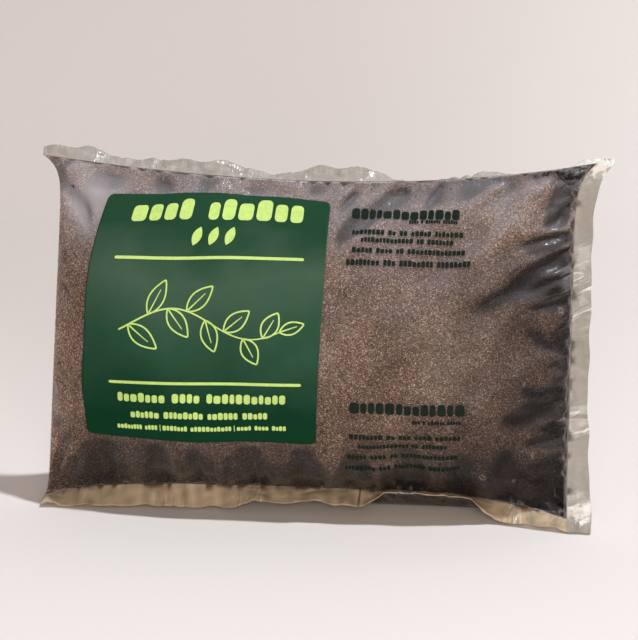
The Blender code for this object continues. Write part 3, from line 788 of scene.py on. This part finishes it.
def front_parameters(x, z):
    """The (u, t) at which the smooth front passes through (x, z), by bisection on t."""
    x, z = np.asarray(x, dtype=float), np.asarray(z, dtype=float)
    t = np.full(x.shape, 0.5)
    for _ in range(3):
        fold = fold_place(t)
        u = 2 * (x - STAND[0] - fold) / (weld_place(t) - fold) - 1
        low, high = np.zeros(x.shape), np.ones(x.shape)
        for _ in range(24):
            t = (low + high) / 2
            below = section(FRONT, u, t)[1] < z
            low, high = np.where(below, t, low), np.where(below, high, t)
    return u, t


def on_front(x, z, raised):
    """Points on the wrinkled front of the film, raised off it."""
    u, t = front_parameters(x, z)
    return on_film(FRONT, u, t, raised)


def label_place(a, b):
    """The (x, z) of the label's point a of the way across and b of the way up."""
    left = LABEL_LEFT - LEFT_BOW * np.sin(np.pi * np.clip(b, 0, 1) ** 0.7) + LEFT_TURN * b**4
    right = LABEL_RIGHT + RIGHT_LEAN * b
    low = LABEL_LOW + LOW_RISE * a
    high = LABEL_HIGH + HIGH_BOW * np.sin(np.pi * np.clip(a, 0, 1)) - HIGH_DROP * a**4
    return mix(left, right, a), mix(low, high, b)


def make_label():
    """A grid of (a, b) with rounded corners, laid on the front, with a thin wall and a flat UV."""
    a, b = np.meshgrid(np.linspace(0, 1, LABEL_COLUMNS + 1), np.linspace(0, 1, LABEL_ROWS + 1))
    near_side = np.minimum(a, 1 - a) / LABEL_CORNER
    near_end = np.minimum(b, 1 - b) / LABEL_CORNER
    round_off = np.maximum(1 - np.minimum(near_side, 1), 0) * np.maximum(1 - np.minimum(near_end, 1), 0)
    b = b + np.sign(0.5 - b) * round_off * LABEL_CORNER * 0.35
    a = a + np.sign(0.5 - a) * round_off * LABEL_CORNER * 0.35
    points = on_front(*label_place(a, b), LABEL_LIFT)
    label = mesh_object("label_sheet", points, grid_faces(*points.shape[:2]))
    flat = label.data.uv_layers.new(name="label")
    loops = np.empty(len(label.data.loops), dtype=np.int32)
    label.data.loops.foreach_get("vertex_index", loops)
    pairs = np.stack([a.ravel(), b.ravel()], axis=-1)[loops]
    flat.data.foreach_set("uv", pairs.astype(np.float32).ravel())
    wall = label.modifiers.new("thickness", "SOLIDIFY")
    wall.thickness = LABEL_WALL
    wall.offset = 1.0
    across = np.linalg.norm(np.diff(points, axis=1), axis=-1).sum(axis=1).mean()
    up = np.linalg.norm(np.diff(points, axis=0), axis=-1).sum(axis=0).mean()
    return label, (float(across), float(up))


label, label_flat = make_label()
print("label", triangles(label), "triangles, flat size", [round(v, 4) for v in label_flat])

# %% [markdown]
# ## Shapes of ink
#
# Print could be an image, but shapes stay sharp from close by. Each shape is a ribbon: a path
# with a width at every point. A word is a row of short blocks, which has the grey of lettering
# and says nothing.

# %% Ribbons
INK_LIFT = 0.00045  # above what it is printed on


class Ink:
    """Collects ribbons, then turns them into one mesh on a surface."""

    def __init__(self):
        self.points, self.faces, self.count = [], [], 0

    def ribbon(self, path, widths):
        """Two edges: path plus and minus half the width along the path's normal."""
        path = np.asarray(path, dtype=float)
        run = np.gradient(path, axis=0)
        run /= np.maximum(np.linalg.norm(run, axis=1, keepdims=True), 1e-9)
        across = np.stack([-run[:, 1], run[:, 0]], axis=-1) * np.reshape(widths, (-1, 1)) / 2
        grid = np.stack([path - across, path, path + across])
        self.points.append(grid.reshape(-1, 2))
        self.faces.append(grid_faces(3, len(path), self.count))
        self.count += grid.shape[0] * grid.shape[1]

    def bar(self, x0, x1, z, height):
        """A straight bar whose ends are rounded off, with a point every 2 mm."""
        x = mix(x0, x1, crowded(9 + int((x1 - x0) / 0.002), 0.3))
        end = np.minimum(x - x0, x1 - x) / (0.30 * height)
        widths = height * (0.55 + 0.45 * np.sqrt(1 - (1 - np.clip(end, 0, 1)) ** 2))
        self.ribbon(np.stack([x, np.full_like(x, z)], axis=-1), widths)

    def words(self, x0, x1, z, height, words, seed, gap=0.16):
        """Words of short blocks that fill a line from x0 to x1."""
        draw = np.random.default_rng(seed)
        counts = np.array(words)
        pitch = (x1 - x0) / (counts.sum() + 0.8 * (len(counts) - 1))
        x = x0
        for blocks in counts:
            widths = draw.uniform(0.8, 1.2, blocks)
            widths *= blocks * pitch / widths.sum()
            for width in widths:
                tall = height * draw.choice([1.0, 1.0, 0.82])
                self.bar(x, x + width - gap * pitch, z - (height - tall) / 2, tall)
                x += width
            x += 0.8 * pitch

    def mesh(self, name, surface):
        points = np.concatenate(self.points)
        placed = surface(points[:, 0], points[:, 1])
        return mesh_object(name, placed, np.concatenate(self.faces))


# %% [markdown]
# ## Print on the film
#
# Beside the label the film itself carries two blocks of dark lines. The ink sits on the film, so
# its ribbons are laid on the same wrinkled surface as the label.

# %% Film print
# Each line: its ends across, its height above the floor, its size and its words' lengths
FILM_LINES = (
    (0.0275, 0.1261, 0.2766, 0.0080, (13,)),
    (0.0795, 0.1237, 0.2710, 0.0032, (4, 1, 6, 6)),
    (0.0287, 0.1296, 0.2612, 0.0042, (8, 2, 2, 5, 7)),
    (0.0372, 0.1209, 0.2548, 0.0042, (14, 2, 7)),
    (0.0297, 0.1321, 0.2464, 0.0044, (5, 4, 2, 14)),
    (0.0249, 0.1370, 0.2365, 0.0052, (8, 3, 8, 8)),
    (0.0320, 0.1365, 0.1103, 0.0105, (13,)),
    (0.0886, 0.1322, 0.0988, 0.0038, (3, 1, 6, 5)),
    (0.0320, 0.1324, 0.0840, 0.0046, (8, 2, 3, 4, 6)),
    (0.0400, 0.1200, 0.0752, 0.0042, (14, 2, 7)),
    (0.0297, 0.1298, 0.0645, 0.0044, (5, 4, 2, 14)),
    (0.0274, 0.1315, 0.0517, 0.0052, (8, 3, 8, 8)),
)


def make_film_print():
    ink = Ink()
    for number, (x0, x1, z, height, words) in enumerate(FILM_LINES):
        ink.words(x0, x1, z, height, words, seed=100 + number)
    return ink.mesh("film_print", lambda x, z: on_front(x, z, INK_LIFT))


film_print = make_film_print()
print("film print", triangles(film_print), "triangles")

# %% [markdown]
# ## Print on the label
#
# The label's print is drawn on a flat sheet of the label's own size and then laid on it. Between
# two rules there is a plain branch of leaves, each leaf two bowed edges and a rib.

# %% Label print
LABEL_WIDTH, LABEL_HEIGHT = 0.2115, 0.2140
PRINT_SLANT = 0.0265  # that the print rises to the right, as it was stuck on a little turned
RULE = 0.0026
LINE = 0.0014


def leaf(ink, foot, angle, length, breadth):
    """Two bowed edges and a midrib: each edge stands breadth sin(pi s)^0.8 (1 - 0.35 s) off it."""
    s = np.linspace(0, 1, 17)
    along = np.array([np.cos(angle), np.sin(angle)])
    beside = np.array([-np.sin(angle), np.cos(angle)])
    bow = breadth / 2 * np.sin(np.pi * s) ** 0.8 * (1.15 - 0.35 * s)
    for turn in (-1, 1):
        edge = foot + s[:, None] * length * along + (turn * bow)[:, None] * beside
        ink.ribbon(edge, np.full(len(s), LINE))
    rib = np.linspace(0.05, 0.72, 9)[:, None] * length * along + foot
    ink.ribbon(rib, np.linspace(LINE, LINE * 0.5, 9))


def filled_leaf(ink, foot, angle, length, breadth):
    """One solid lens: a straight path whose width is breadth sin(pi s)^0.8."""
    s = np.linspace(0, 1, 17)
    path = foot + s[:, None] * length * np.array([np.cos(angle), np.sin(angle)])
    ink.ribbon(path, np.maximum(breadth * np.sin(np.pi * s) ** 0.8, 0.0002))


def branch(ink):
    """A stem that waves across the label, with leaves on alternate sides."""
    s = np.linspace(0, 1, 60)
    stem = np.stack([mix(0.034, 0.176, s), 0.106 + 0.013 * np.sin(2 * np.pi * s - 0.5)], axis=-1)
    ink.ribbon(stem, mix(LINE * 1.2, LINE * 0.7, s))
    for number, place in enumerate(np.linspace(0.06, 0.90, 8)):
        foot = np.array([np.interp(place, s, stem[:, 0]), np.interp(place, s, stem[:, 1])])
        turn = 1 if number % 2 else -1
        angle = 0.30 * np.cos(2 * np.pi * place - 0.5) + turn * 0.95
        leaf(ink, foot, angle, 0.034 - 0.010 * place, 0.0145)
    leaf(ink, stem[-1], 0.35, 0.022, 0.011)


def make_label_print():
    ink = Ink()
    ink.words(0.0284, 0.1901, 0.2012, 0.0165, (4, 6), seed=201, gap=0.20)
    for x in (0.091, 0.106, 0.121):
        filled_leaf(ink, np.array([x, 0.1725]), 1.25, 0.0155, 0.0085)
    ink.bar(0.0225, 0.1925, 0.1620, RULE)
    ink.bar(0.0258, 0.1973, 0.0534, RULE)
    ink.words(0.0332, 0.1853, 0.0398, 0.0086, (7, 4, 11), seed=202, gap=0.20)
    ink.words(0.0451, 0.1690, 0.0243, 0.0064, (6, 8, 6, 5), seed=203)
    ink.words(0.0315, 0.0698, 0.0125, 0.0046, (8, 4), seed=204)
    ink.words(0.0742, 0.1366, 0.0125, 0.0046, (7, 11), seed=205)
    ink.words(0.1410, 0.1855, 0.0125, 0.0046, (4, 4, 4), seed=206)
    for x in (0.0720, 0.1388):
        ink.ribbon([(x, 0.0095), (x, 0.0125), (x, 0.0155)], [0.0007] * 3)
    branch(ink)

    def on_label(p, q):
        q = q + PRINT_SLANT * (p - LABEL_WIDTH / 2)
        x, z = label_place(p / LABEL_WIDTH, q / LABEL_HEIGHT)
        return on_front(x, z, LABEL_LIFT + INK_LIFT)

    return ink.mesh("label_print", on_label)


label_print = make_label_print()
print("label print", triangles(label_print), "triangles")

# %% [markdown]
# ## Materials made of nodes
#
# Every finish here is procedural. A few helpers keep the node code short: one makes a node and
# sets its sockets by name, and others stand for the chains that come up again and again. Fine
# folds are noise that is drawn out along the way they run.

# %% Node helpers


def new_material(name):
    material = bpy.data.materials.new(name)
    material.use_nodes = True
    material.node_tree.nodes.clear()
    return material, material.node_tree


def node(tree, kind, **settings):
    """A node with its sockets set by name. A value that is a socket is linked."""
    made = tree.nodes.new("ShaderNode" + kind)
    for name, value in settings.items():
        key = int(name[1:]) if name[0] == "n" and name[1:].isdigit() else name.replace("_", " ")
        if isinstance(key, str) and key not in made.inputs and hasattr(made, name):
            setattr(made, name, value)
        elif isinstance(value, bpy.types.NodeSocket):
            tree.links.new(value, made.inputs[key])
        else:
            made.inputs[key].default_value = value
    return made


def ramp(tree, factor, stops):
    """A colour ramp from its stops. A new ramp already has two of them."""
    made = node(tree, "ValToRGB", Fac=factor)
    for place, colour in stops[:-2]:
        made.color_ramp.elements.new(place)
    for element, (place, colour) in zip(made.color_ramp.elements, stops):
        element.position = place
        element.color = (*colour, 1.0)
    return made.outputs["Color"]


def math_node(tree, operation, a, b=0.0, clamp=False):
    made = tree.nodes.new("ShaderNodeMath")
    made.operation = operation
    made.use_clamp = clamp
    for socket, value in zip(made.inputs, (a, b)):
        if isinstance(value, bpy.types.NodeSocket):
            tree.links.new(value, socket)
        else:
            socket.default_value = value
    return made.outputs[0]


def stored(tree, name):
    """A number that each vertex carries."""
    return node(tree, "Attribute", attribute_name=name).outputs["Fac"]


def bumped(tree, height, strength, distance, normal=None, invert=False):
    """A normal that follows the height, on top of another normal where one is given."""
    made = node(tree, "Bump", Height=height, Strength=strength, Distance=distance, invert=invert)
    if normal is not None:
        tree.links.new(normal, made.inputs["Normal"])
    return made.outputs["Normal"]


def output(tree, shader):
    made = tree.nodes.new("ShaderNodeOutputMaterial")
    tree.links.new(shader, made.inputs["Surface"])


FOLD_SLANT = (-0.40, 0.0, 1.0)  # that the folds at the right weld rise towards it


def streaks(tree, place):
    """Fine folds: noise drawn out upwards or inwards, where the two masks allow it."""
    parts = []
    across = node(tree, "VectorMath", operation="DOT_PRODUCT", n0=place, n1=FOLD_SLANT)
    slanted = node(tree, "CombineXYZ", Y=0.0, Z=across.outputs["Value"])
    apart = node(tree, "SeparateXYZ", Vector=place)
    tree.links.new(apart.outputs["X"], slanted.inputs["X"])
    for name, start, pull in (
        ("upward", place, (260.0, 50.0, 24.0)),
        ("inward", slanted.outputs[0], (20.0, 50.0, 150.0)),
    ):
        drawn_out = node(tree, "VectorMath", operation="MULTIPLY", n0=start, n1=pull)
        noise = node(
            tree, "TexNoise", Vector=drawn_out.outputs[0], Scale=1.0, Detail=2.0,
            Distortion=0.6,
        ).outputs["Fac"]
        mask = stored(tree, name)
        parts.append(math_node(tree, "MULTIPLY", mask, noise))
    return math_node(tree, "ADD", *parts)


def stepped(tree, value, low, high):
    """A smooth step from 0 at low to 1 at high."""
    return node(
        tree, "MapRange", interpolation_type="SMOOTHSTEP", Value=value,
        From_Min=low, From_Max=high,
    ).outputs[0]


print("streaks and the other helpers read Object coordinates and numbers kept at the vertices")

# %% [markdown]
# ## Clear film
#
# Thin film lets light through with hardly any bend, so it is a mix of a see-through shader and a
# glossy one. Fresnel sets the share: little straight on, more at a glancing angle. Shadow rays skip
# the gloss, so that the lamp still reaches the compost behind steep film. A trace of milkiness
# shows where the film is doubled, and a painted sheen where it faces up and along fine folds. Fine
# folds also break the reflections, the crests of the fins' folds get a painted white highlight, and
# their hollows get a painted shade.

# %% Film material
SOIL_COLOUR = (0.075, 0.050, 0.036)
FILM_TINT = (0.97, 0.96, 0.95)
FIN_TINT, DULL_FIN_TINT = (0.86, 0.84, 0.81), (0.73, 0.72, 0.69)
# A painted shade for the hollows of the fins' folds, and a painted white highlight for their crests
SHADED_HOLLOW_FIN_TINT, PAINTED_GLINT_COLOUR = (0.70, 0.68, 0.64), (0.93, 0.94, 0.95)
# The bluish colour of the body's milkiness and of the painted sheen on it
HAZE_AND_SHEEN_COLOUR = (0.70, 0.70, 0.78)
GLOSS_FROM, GLOSS_RISE, GLOSS_MOST = 0.030, 1.5, 0.16  # the gloss's share, from Fresnel's
# Soil is the caught soil's own colour; the fold and glint amounts add a painted sheen and a painted
# highlight
SOIL_HAZE, FOLD_PAINTED_SHEEN, PAINTED_GLINT_AMOUNT = 0.5, 0.16, 0.30
FIN_COLOURS = {
    "bottom_fin": (0.60, 0.48, 0.34),
    "right_fin": (0.42, 0.39, 0.33),
    "top_fin": (0.78, 0.82, 0.86),
}
# How strongly each fin gets the painted white highlight on the crests of its folds
FIN_PAINTED_GLINTS = {"bottom_fin": 0.3, "right_fin": 1.0, "top_fin": 0.9}


def blend(tree, share, a, b):
    """A colour between two colours, each a socket or a triple."""
    made = node(tree, "Mix", data_type="RGBA", Factor=share)
    for name, value in (("A", a), ("B", b)):
        socket = next(i for i in made.inputs if i.name == name and i.type == "RGBA")
        if isinstance(value, bpy.types.NodeSocket):
            tree.links.new(value, socket)
        else:
            socket.default_value = (*value, 1.0)
    return next(o for o in made.outputs if o.type == "RGBA")


def film_material():
    """See-through film, milky where doubled and with a painted sheen, with a glossy share by Fresnel."""
    material, tree = new_material("clear film")
    place = node(tree, "TexCoord").outputs["Object"]
    haze_and_sheen = stored(tree, "haze_and_sheen")
    wide = node(tree, "TexNoise", Vector=place, Scale=60.0, Detail=3.0, Roughness=0.55)
    fine = node(tree, "TexNoise", Vector=place, Scale=420.0, Detail=2.0, Roughness=0.5)
    folds = streaks(tree, place)
    bump = bumped(tree, folds, 1.0, 0.0030)
    bump = bumped(tree, wide.outputs["Fac"], 0.35, 0.0022, bump)
    bump = bumped(tree, fine.outputs["Fac"], 0.30, 0.0005, bump)
    glance = node(tree, "Fresnel", IOR=1.45, Normal=bump).outputs["Fac"]
    share = math_node(tree, "SUBTRACT", glance, GLOSS_FROM)
    share = math_node(tree, "MULTIPLY", share, GLOSS_RISE, clamp=True)
    share = math_node(tree, "MINIMUM", share, GLOSS_MOST)
    for_shadows = node(tree, "LightPath").outputs["Is Shadow Ray"]
    share = math_node(tree, "MULTIPLY", share, math_node(tree, "SUBTRACT", 1.0, for_shadows))
    tint, milk_and_sheen_colour = FILM_TINT, HAZE_AND_SHEEN_COLOUR
    # The fins' fold crests get a painted white highlight and their hollows a painted shade
    crest, shaded_hollow = stepped(tree, folds, 0.56, 0.64), stepped(tree, folds, 0.46, 0.38)
    fin_tint = blend(tree, stepped(tree, wide.outputs["Fac"], 0.42, 0.62), FIN_TINT, DULL_FIN_TINT)
    fin_tint = blend(tree, shaded_hollow, fin_tint, SHADED_HOLLOW_FIN_TINT)
    glinting = 0.0
    for name, colour in FIN_COLOURS.items():
        on_fin = stored(tree, name)
        tint = blend(tree, on_fin, tint, fin_tint)
        milk_and_sheen_colour = blend(tree, on_fin, milk_and_sheen_colour, colour)
        glint_here = math_node(tree, "MULTIPLY", on_fin, FIN_PAINTED_GLINTS[name])
        glinting = math_node(tree, "MAXIMUM", glint_here, glinting)
    # painted highlight: the crests of the fins' folds turn white
    glint = math_node(tree, "MULTIPLY", crest, glinting)
    milk_and_sheen_colour = blend(tree, glint, milk_and_sheen_colour, PAINTED_GLINT_COLOUR)
    soil = stored(tree, "soil")
    milk_and_sheen_colour = blend(tree, soil, milk_and_sheen_colour, SOIL_COLOUR)
    # painted sheen along the fine folds
    sheen_on_folds = stepped(tree, folds, 0.46, 0.66)
    for amount, most in ((soil, SOIL_HAZE), (sheen_on_folds, FOLD_PAINTED_SHEEN), (glint, PAINTED_GLINT_AMOUNT)):
        more = math_node(tree, "MULTIPLY", amount, most)
        haze_and_sheen = math_node(tree, "ADD", haze_and_sheen, more, clamp=True)
    clear = node(tree, "BsdfTransparent", Color=tint).outputs[0]
    sheen, shine = (
        node(tree, "BsdfAnisotropic", Color=(1, 1, 1, 1), Roughness=roughness, Normal=bump).outputs[0]
        for roughness in (0.42, 0.14)
    )
    gloss = node(tree, "MixShader", Fac=0.5, n1=sheen, n2=shine).outputs[0]
    milk_and_sheen = node(tree, "BsdfDiffuse", Color=milk_and_sheen_colour, Normal=bump).outputs[0]
    hazed_and_sheened = node(tree, "MixShader", Fac=haze_and_sheen, n1=clear, n2=milk_and_sheen).outputs[0]
    output(tree, node(tree, "MixShader", Fac=share, n1=hazed_and_sheened, n2=gloss).outputs[0])
    return material


film.data.materials.append(film_material())
print("film material", len(film.data.materials[0].node_tree.nodes), "nodes")

# %% [markdown]
# ## Loose compost
#
# The compost is a mass of grains about a millimetre across. Modelling them would take millions of
# faces, so cells of a Voronoi texture stand for them, each with its own shade, and a bump between
# the cells parts one grain from the next.

# %% Compost material
# The bluish colour of the painted sheen, and how much painted shade darkens the fine folds' valleys
COMPOST_SHEEN_COLOUR, VALLEY_PAINTED_SHADE = (0.055, 0.062, 0.082), 0.78


def compost_material():
    """Grains by cell, each with its own shade, over slow drifts from dark to dusty."""
    material, tree = new_material("dark compost")
    place = node(tree, "TexCoord").outputs["Object"]
    grains = node(tree, "TexVoronoi", Vector=place, Scale=1250.0, Randomness=1.0)
    crumbs = node(tree, "TexVoronoi", Vector=place, Scale=380.0, Randomness=1.0)
    drift = node(tree, "TexNoise", Vector=place, Scale=22.0, Detail=4.0, Roughness=0.6)
    shade = node(tree, "SeparateColor", Color=grains.outputs["Color"]).outputs["Red"]
    shade = ramp(tree, shade, (
        (0.00, (0.036, 0.021, 0.014)),
        (0.35, (0.130, 0.084, 0.063)),
        (0.72, (0.220, 0.150, 0.117)),
        (0.92, (0.370, 0.270, 0.215)),
        (0.985, (0.620, 0.500, 0.400)),
    ))
    dusty = ramp(tree, drift.outputs["Fac"], ((0.35, (0.80, 0.79, 0.78)), (0.68, (1.16, 1.15, 1.14))))
    pale = stored(tree, "shade")
    colour = node(tree, "VectorMath", operation="MULTIPLY", n0=shade, n1=dusty)
    # painted shade along the valleys of the fine folds
    valley = stepped(tree, streaks(tree, place), 0.24, 0.42)
    kept = math_node(tree, "SUBTRACT", 1.0, math_node(tree, "MULTIPLY", valley, VALLEY_PAINTED_SHADE))
    pale = math_node(tree, "MULTIPLY", pale, kept)
    # painted sheen where the compost faces up
    painted_sheen = stored(tree, "painted_sheen")
    sheen_added = node(tree, "VectorMath", operation="SCALE", n0=COMPOST_SHEEN_COLOUR, Scale=painted_sheen)
    colour = node(
        tree, "VectorMath", operation="ADD", n0=colour.outputs[0], n1=sheen_added.outputs[0]
    )
    colour = node(tree, "VectorMath", operation="SCALE", n0=colour.outputs[0], Scale=pale)
    bump = bumped(tree, crumbs.outputs["Distance"], 0.7, 0.0016, invert=True)
    bump = bumped(tree, grains.outputs["Distance"], 0.9, 0.0011, bump, invert=True)
    shader = node(
        tree, "BsdfPrincipled", Base_Color=colour.outputs[0], Roughness=0.85,
        Normal=bump,
    )
    shader.inputs["Specular IOR Level"].default_value = 0.15
    output(tree, shader.outputs[0])
    return material


compost.data.materials.append(compost_material())
print("compost material", len(compost.data.materials[0].node_tree.nodes), "nodes")

# %% [markdown]
# ## Label and inks
#
# The label is printed film with a satin coat. Its green is paler in a band near the top, a painted
# sheen where it leans back to the light. Ink is a plain paint-like layer whose shade varies a little.

# %% Label and ink materials
def label_material():
    """Dark green, made paler in a band by a painted sheen where the label leans back to the light."""
    material, tree = new_material("green label")
    place = node(tree, "TexCoord").outputs["Object"]
    tone = node(tree, "TexNoise", Vector=place, Scale=14.0, Detail=3.0)
    tooth = node(tree, "TexNoise", Vector=place, Scale=130.0, Detail=3.0)
    height = node(tree, "SeparateXYZ", Vector=place).outputs["Z"]
    wander = math_node(tree, "MULTIPLY", tone.outputs["Fac"], 0.10)
    # painted sheen: the green is paler in a band near the top, where the label leans back to the light
    green_with_painted_sheen = ramp(tree, math_node(tree, "ADD", height, wander), (
        (0.150, (0.0026, 0.036, 0.0160)),
        (0.215, (0.0200, 0.070, 0.0410)),
        (0.275, (0.0480, 0.098, 0.0660)),
        (0.320, (0.0140, 0.056, 0.0300)),
    ))
    bump = bumped(tree, tooth.outputs["Fac"], 0.25, 0.0008)
    shader = node(
        tree, "BsdfPrincipled", Base_Color=green_with_painted_sheen, Roughness=0.50, Normal=bump
    )
    shader.inputs["Specular IOR Level"].default_value = 0.05
    output(tree, shader.outputs[0])
    return material


def ink_material(name, colour, wear, roughness):
    """Ink whose shade varies a little, as a thin layer of print does."""
    material, tree = new_material(name)
    place = node(tree, "TexCoord").outputs["Object"]
    thin = node(tree, "TexNoise", Vector=place, Scale=300.0, Detail=2.0)
    worn = tuple(mix(channel, other, 0.35) for channel, other in zip(colour, wear))
    tone = ramp(tree, thin.outputs["Fac"], ((0.40, colour), (0.75, worn)))
    shader = node(tree, "BsdfPrincipled", Base_Color=tone, Roughness=roughness)
    shader.inputs["Specular IOR Level"].default_value = 0.15
    output(tree, shader.outputs[0])
    return material


label.data.materials.append(label_material())
label_print.data.materials.append(
    ink_material("pale green ink", (0.52, 0.74, 0.22), (0.25, 0.45, 0.15), 0.4)
)
film_print.data.materials.append(
    ink_material("dark green ink", (0.0025, 0.010, 0.007), (0.020, 0.030, 0.022), 0.7)
)
print("materials", len(bpy.data.materials))

# %% [markdown]
# ## Floor and backdrop
#
# A pale floor runs up into a backdrop in one sweep, so no line shows where they meet. A painted
# shade makes it a little darker far off to the left.

# %% Stage
FLOOR_COLOUR, FAR_LEFT_SHADE_COLOUR = (0.780, 0.755, 0.755), (0.690, 0.640, 0.620)
BEND_START, BEND = 1.2, 0.8
FLOOR_DROP = 0.0002  # so that the floor lies just under the film


def make_stage():
    """A sweep: flat floor, a quarter circle, then an upright wall."""
    turn = np.linspace(0, np.pi / 2, 24)
    bend_y, bend_z = BEND_START + BEND * np.sin(turn), BEND - BEND * np.cos(turn)
    profile_y = np.concatenate([[-4.0, BEND_START], bend_y, [BEND_START + BEND]])
    profile_z = np.concatenate([[0.0, 0.0], bend_z, [5.0]])
    x, y = np.meshgrid([-5.0, 5.0], profile_y)
    z = np.repeat(profile_z[:, None] - FLOOR_DROP, 2, axis=1)
    stage = mesh_object("stage", np.stack([x, y, z], axis=-1), grid_faces(len(profile_y), 2))
    material, tree = new_material("pale sweep")
    place = node(tree, "SeparateXYZ", Vector=node(tree, "TexCoord").outputs["Object"])
    # painted shade: the sweep darkens towards the far left
    left = stepped(tree, place.outputs["X"], 0.60, -0.25)
    far = stepped(tree, place.outputs["Y"], -0.35, 0.90)
    colour = blend(tree, math_node(tree, "MULTIPLY", left, far), FLOOR_COLOUR, FAR_LEFT_SHADE_COLOUR)
    output(tree, node(tree, "BsdfDiffuse", Color=colour).outputs[0])
    stage.data.materials.append(material)


make_stage()
print("floor and backdrop, a bend of", BEND, "metres")

# %% [markdown]
# ## Light
#
# A small strong lamp stands almost overhead, a little to the right, so that the bag's shadow is
# short and falls to the left. A broad warm lamp in front and a dim world fill the shadows.

# %% Lights
KEY_DIRECTION = np.array([0.290, -0.045, 0.956])
KEY_AWAY, KEY_SIZE, KEY_POWER = 6.0, 0.30, 256.0
FRONT_PLACE, FRONT_SIZE, FRONT_POWER = Vector((0.5, -3.2, 0.9)), 1.6, 74.0
SKY_STRENGTH = 0.150


def make_lights():
    """Two round lamps that face the origin, and an even world."""
    for name, place, size, power, colour in (
        ("key", Vector(KEY_DIRECTION * KEY_AWAY), KEY_SIZE, KEY_POWER, (0.98, 1.0, 1.02)),
        ("front", FRONT_PLACE, FRONT_SIZE, FRONT_POWER, (1.0, 0.86, 0.74)),
    ):
        lamp = bpy.data.lights.new(name, "AREA")
        lamp.shape = "DISK"
        lamp.size = size
        lamp.energy = power
        lamp.color = colour
        light = bpy.data.objects.new(name, lamp)
        light.location = place
        light.rotation_euler = place.to_track_quat("Z", "Y").to_euler()
        SOURCE.objects.link(light)
    world = bpy.data.worlds.new("room")
    world.use_nodes = True
    world.node_tree.nodes["Background"].inputs["Color"].default_value = (1.0, 0.88, 0.78, 1.0)
    world.node_tree.nodes["Background"].inputs["Strength"].default_value = SKY_STRENGTH
    bpy.context.scene.world = world


make_lights()
bpy.context.scene.view_settings.view_transform = "Standard"
print("lamps", len(bpy.data.lights))

# %% [markdown]
# ## Attaching the pieces
#
# Each new piece is attached to the model's root, and the solids of the model that the film, the
# compost and the label stand for are hidden.

# %% Attach the pieces
for piece, node_name in ((film, "film"), (compost, "compost"), (label, "label")):
    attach(piece, "root")
    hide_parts(node_name)
for piece, slot_name in ((film_print, "film"), (label_print, "label")):
    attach(piece, "root")
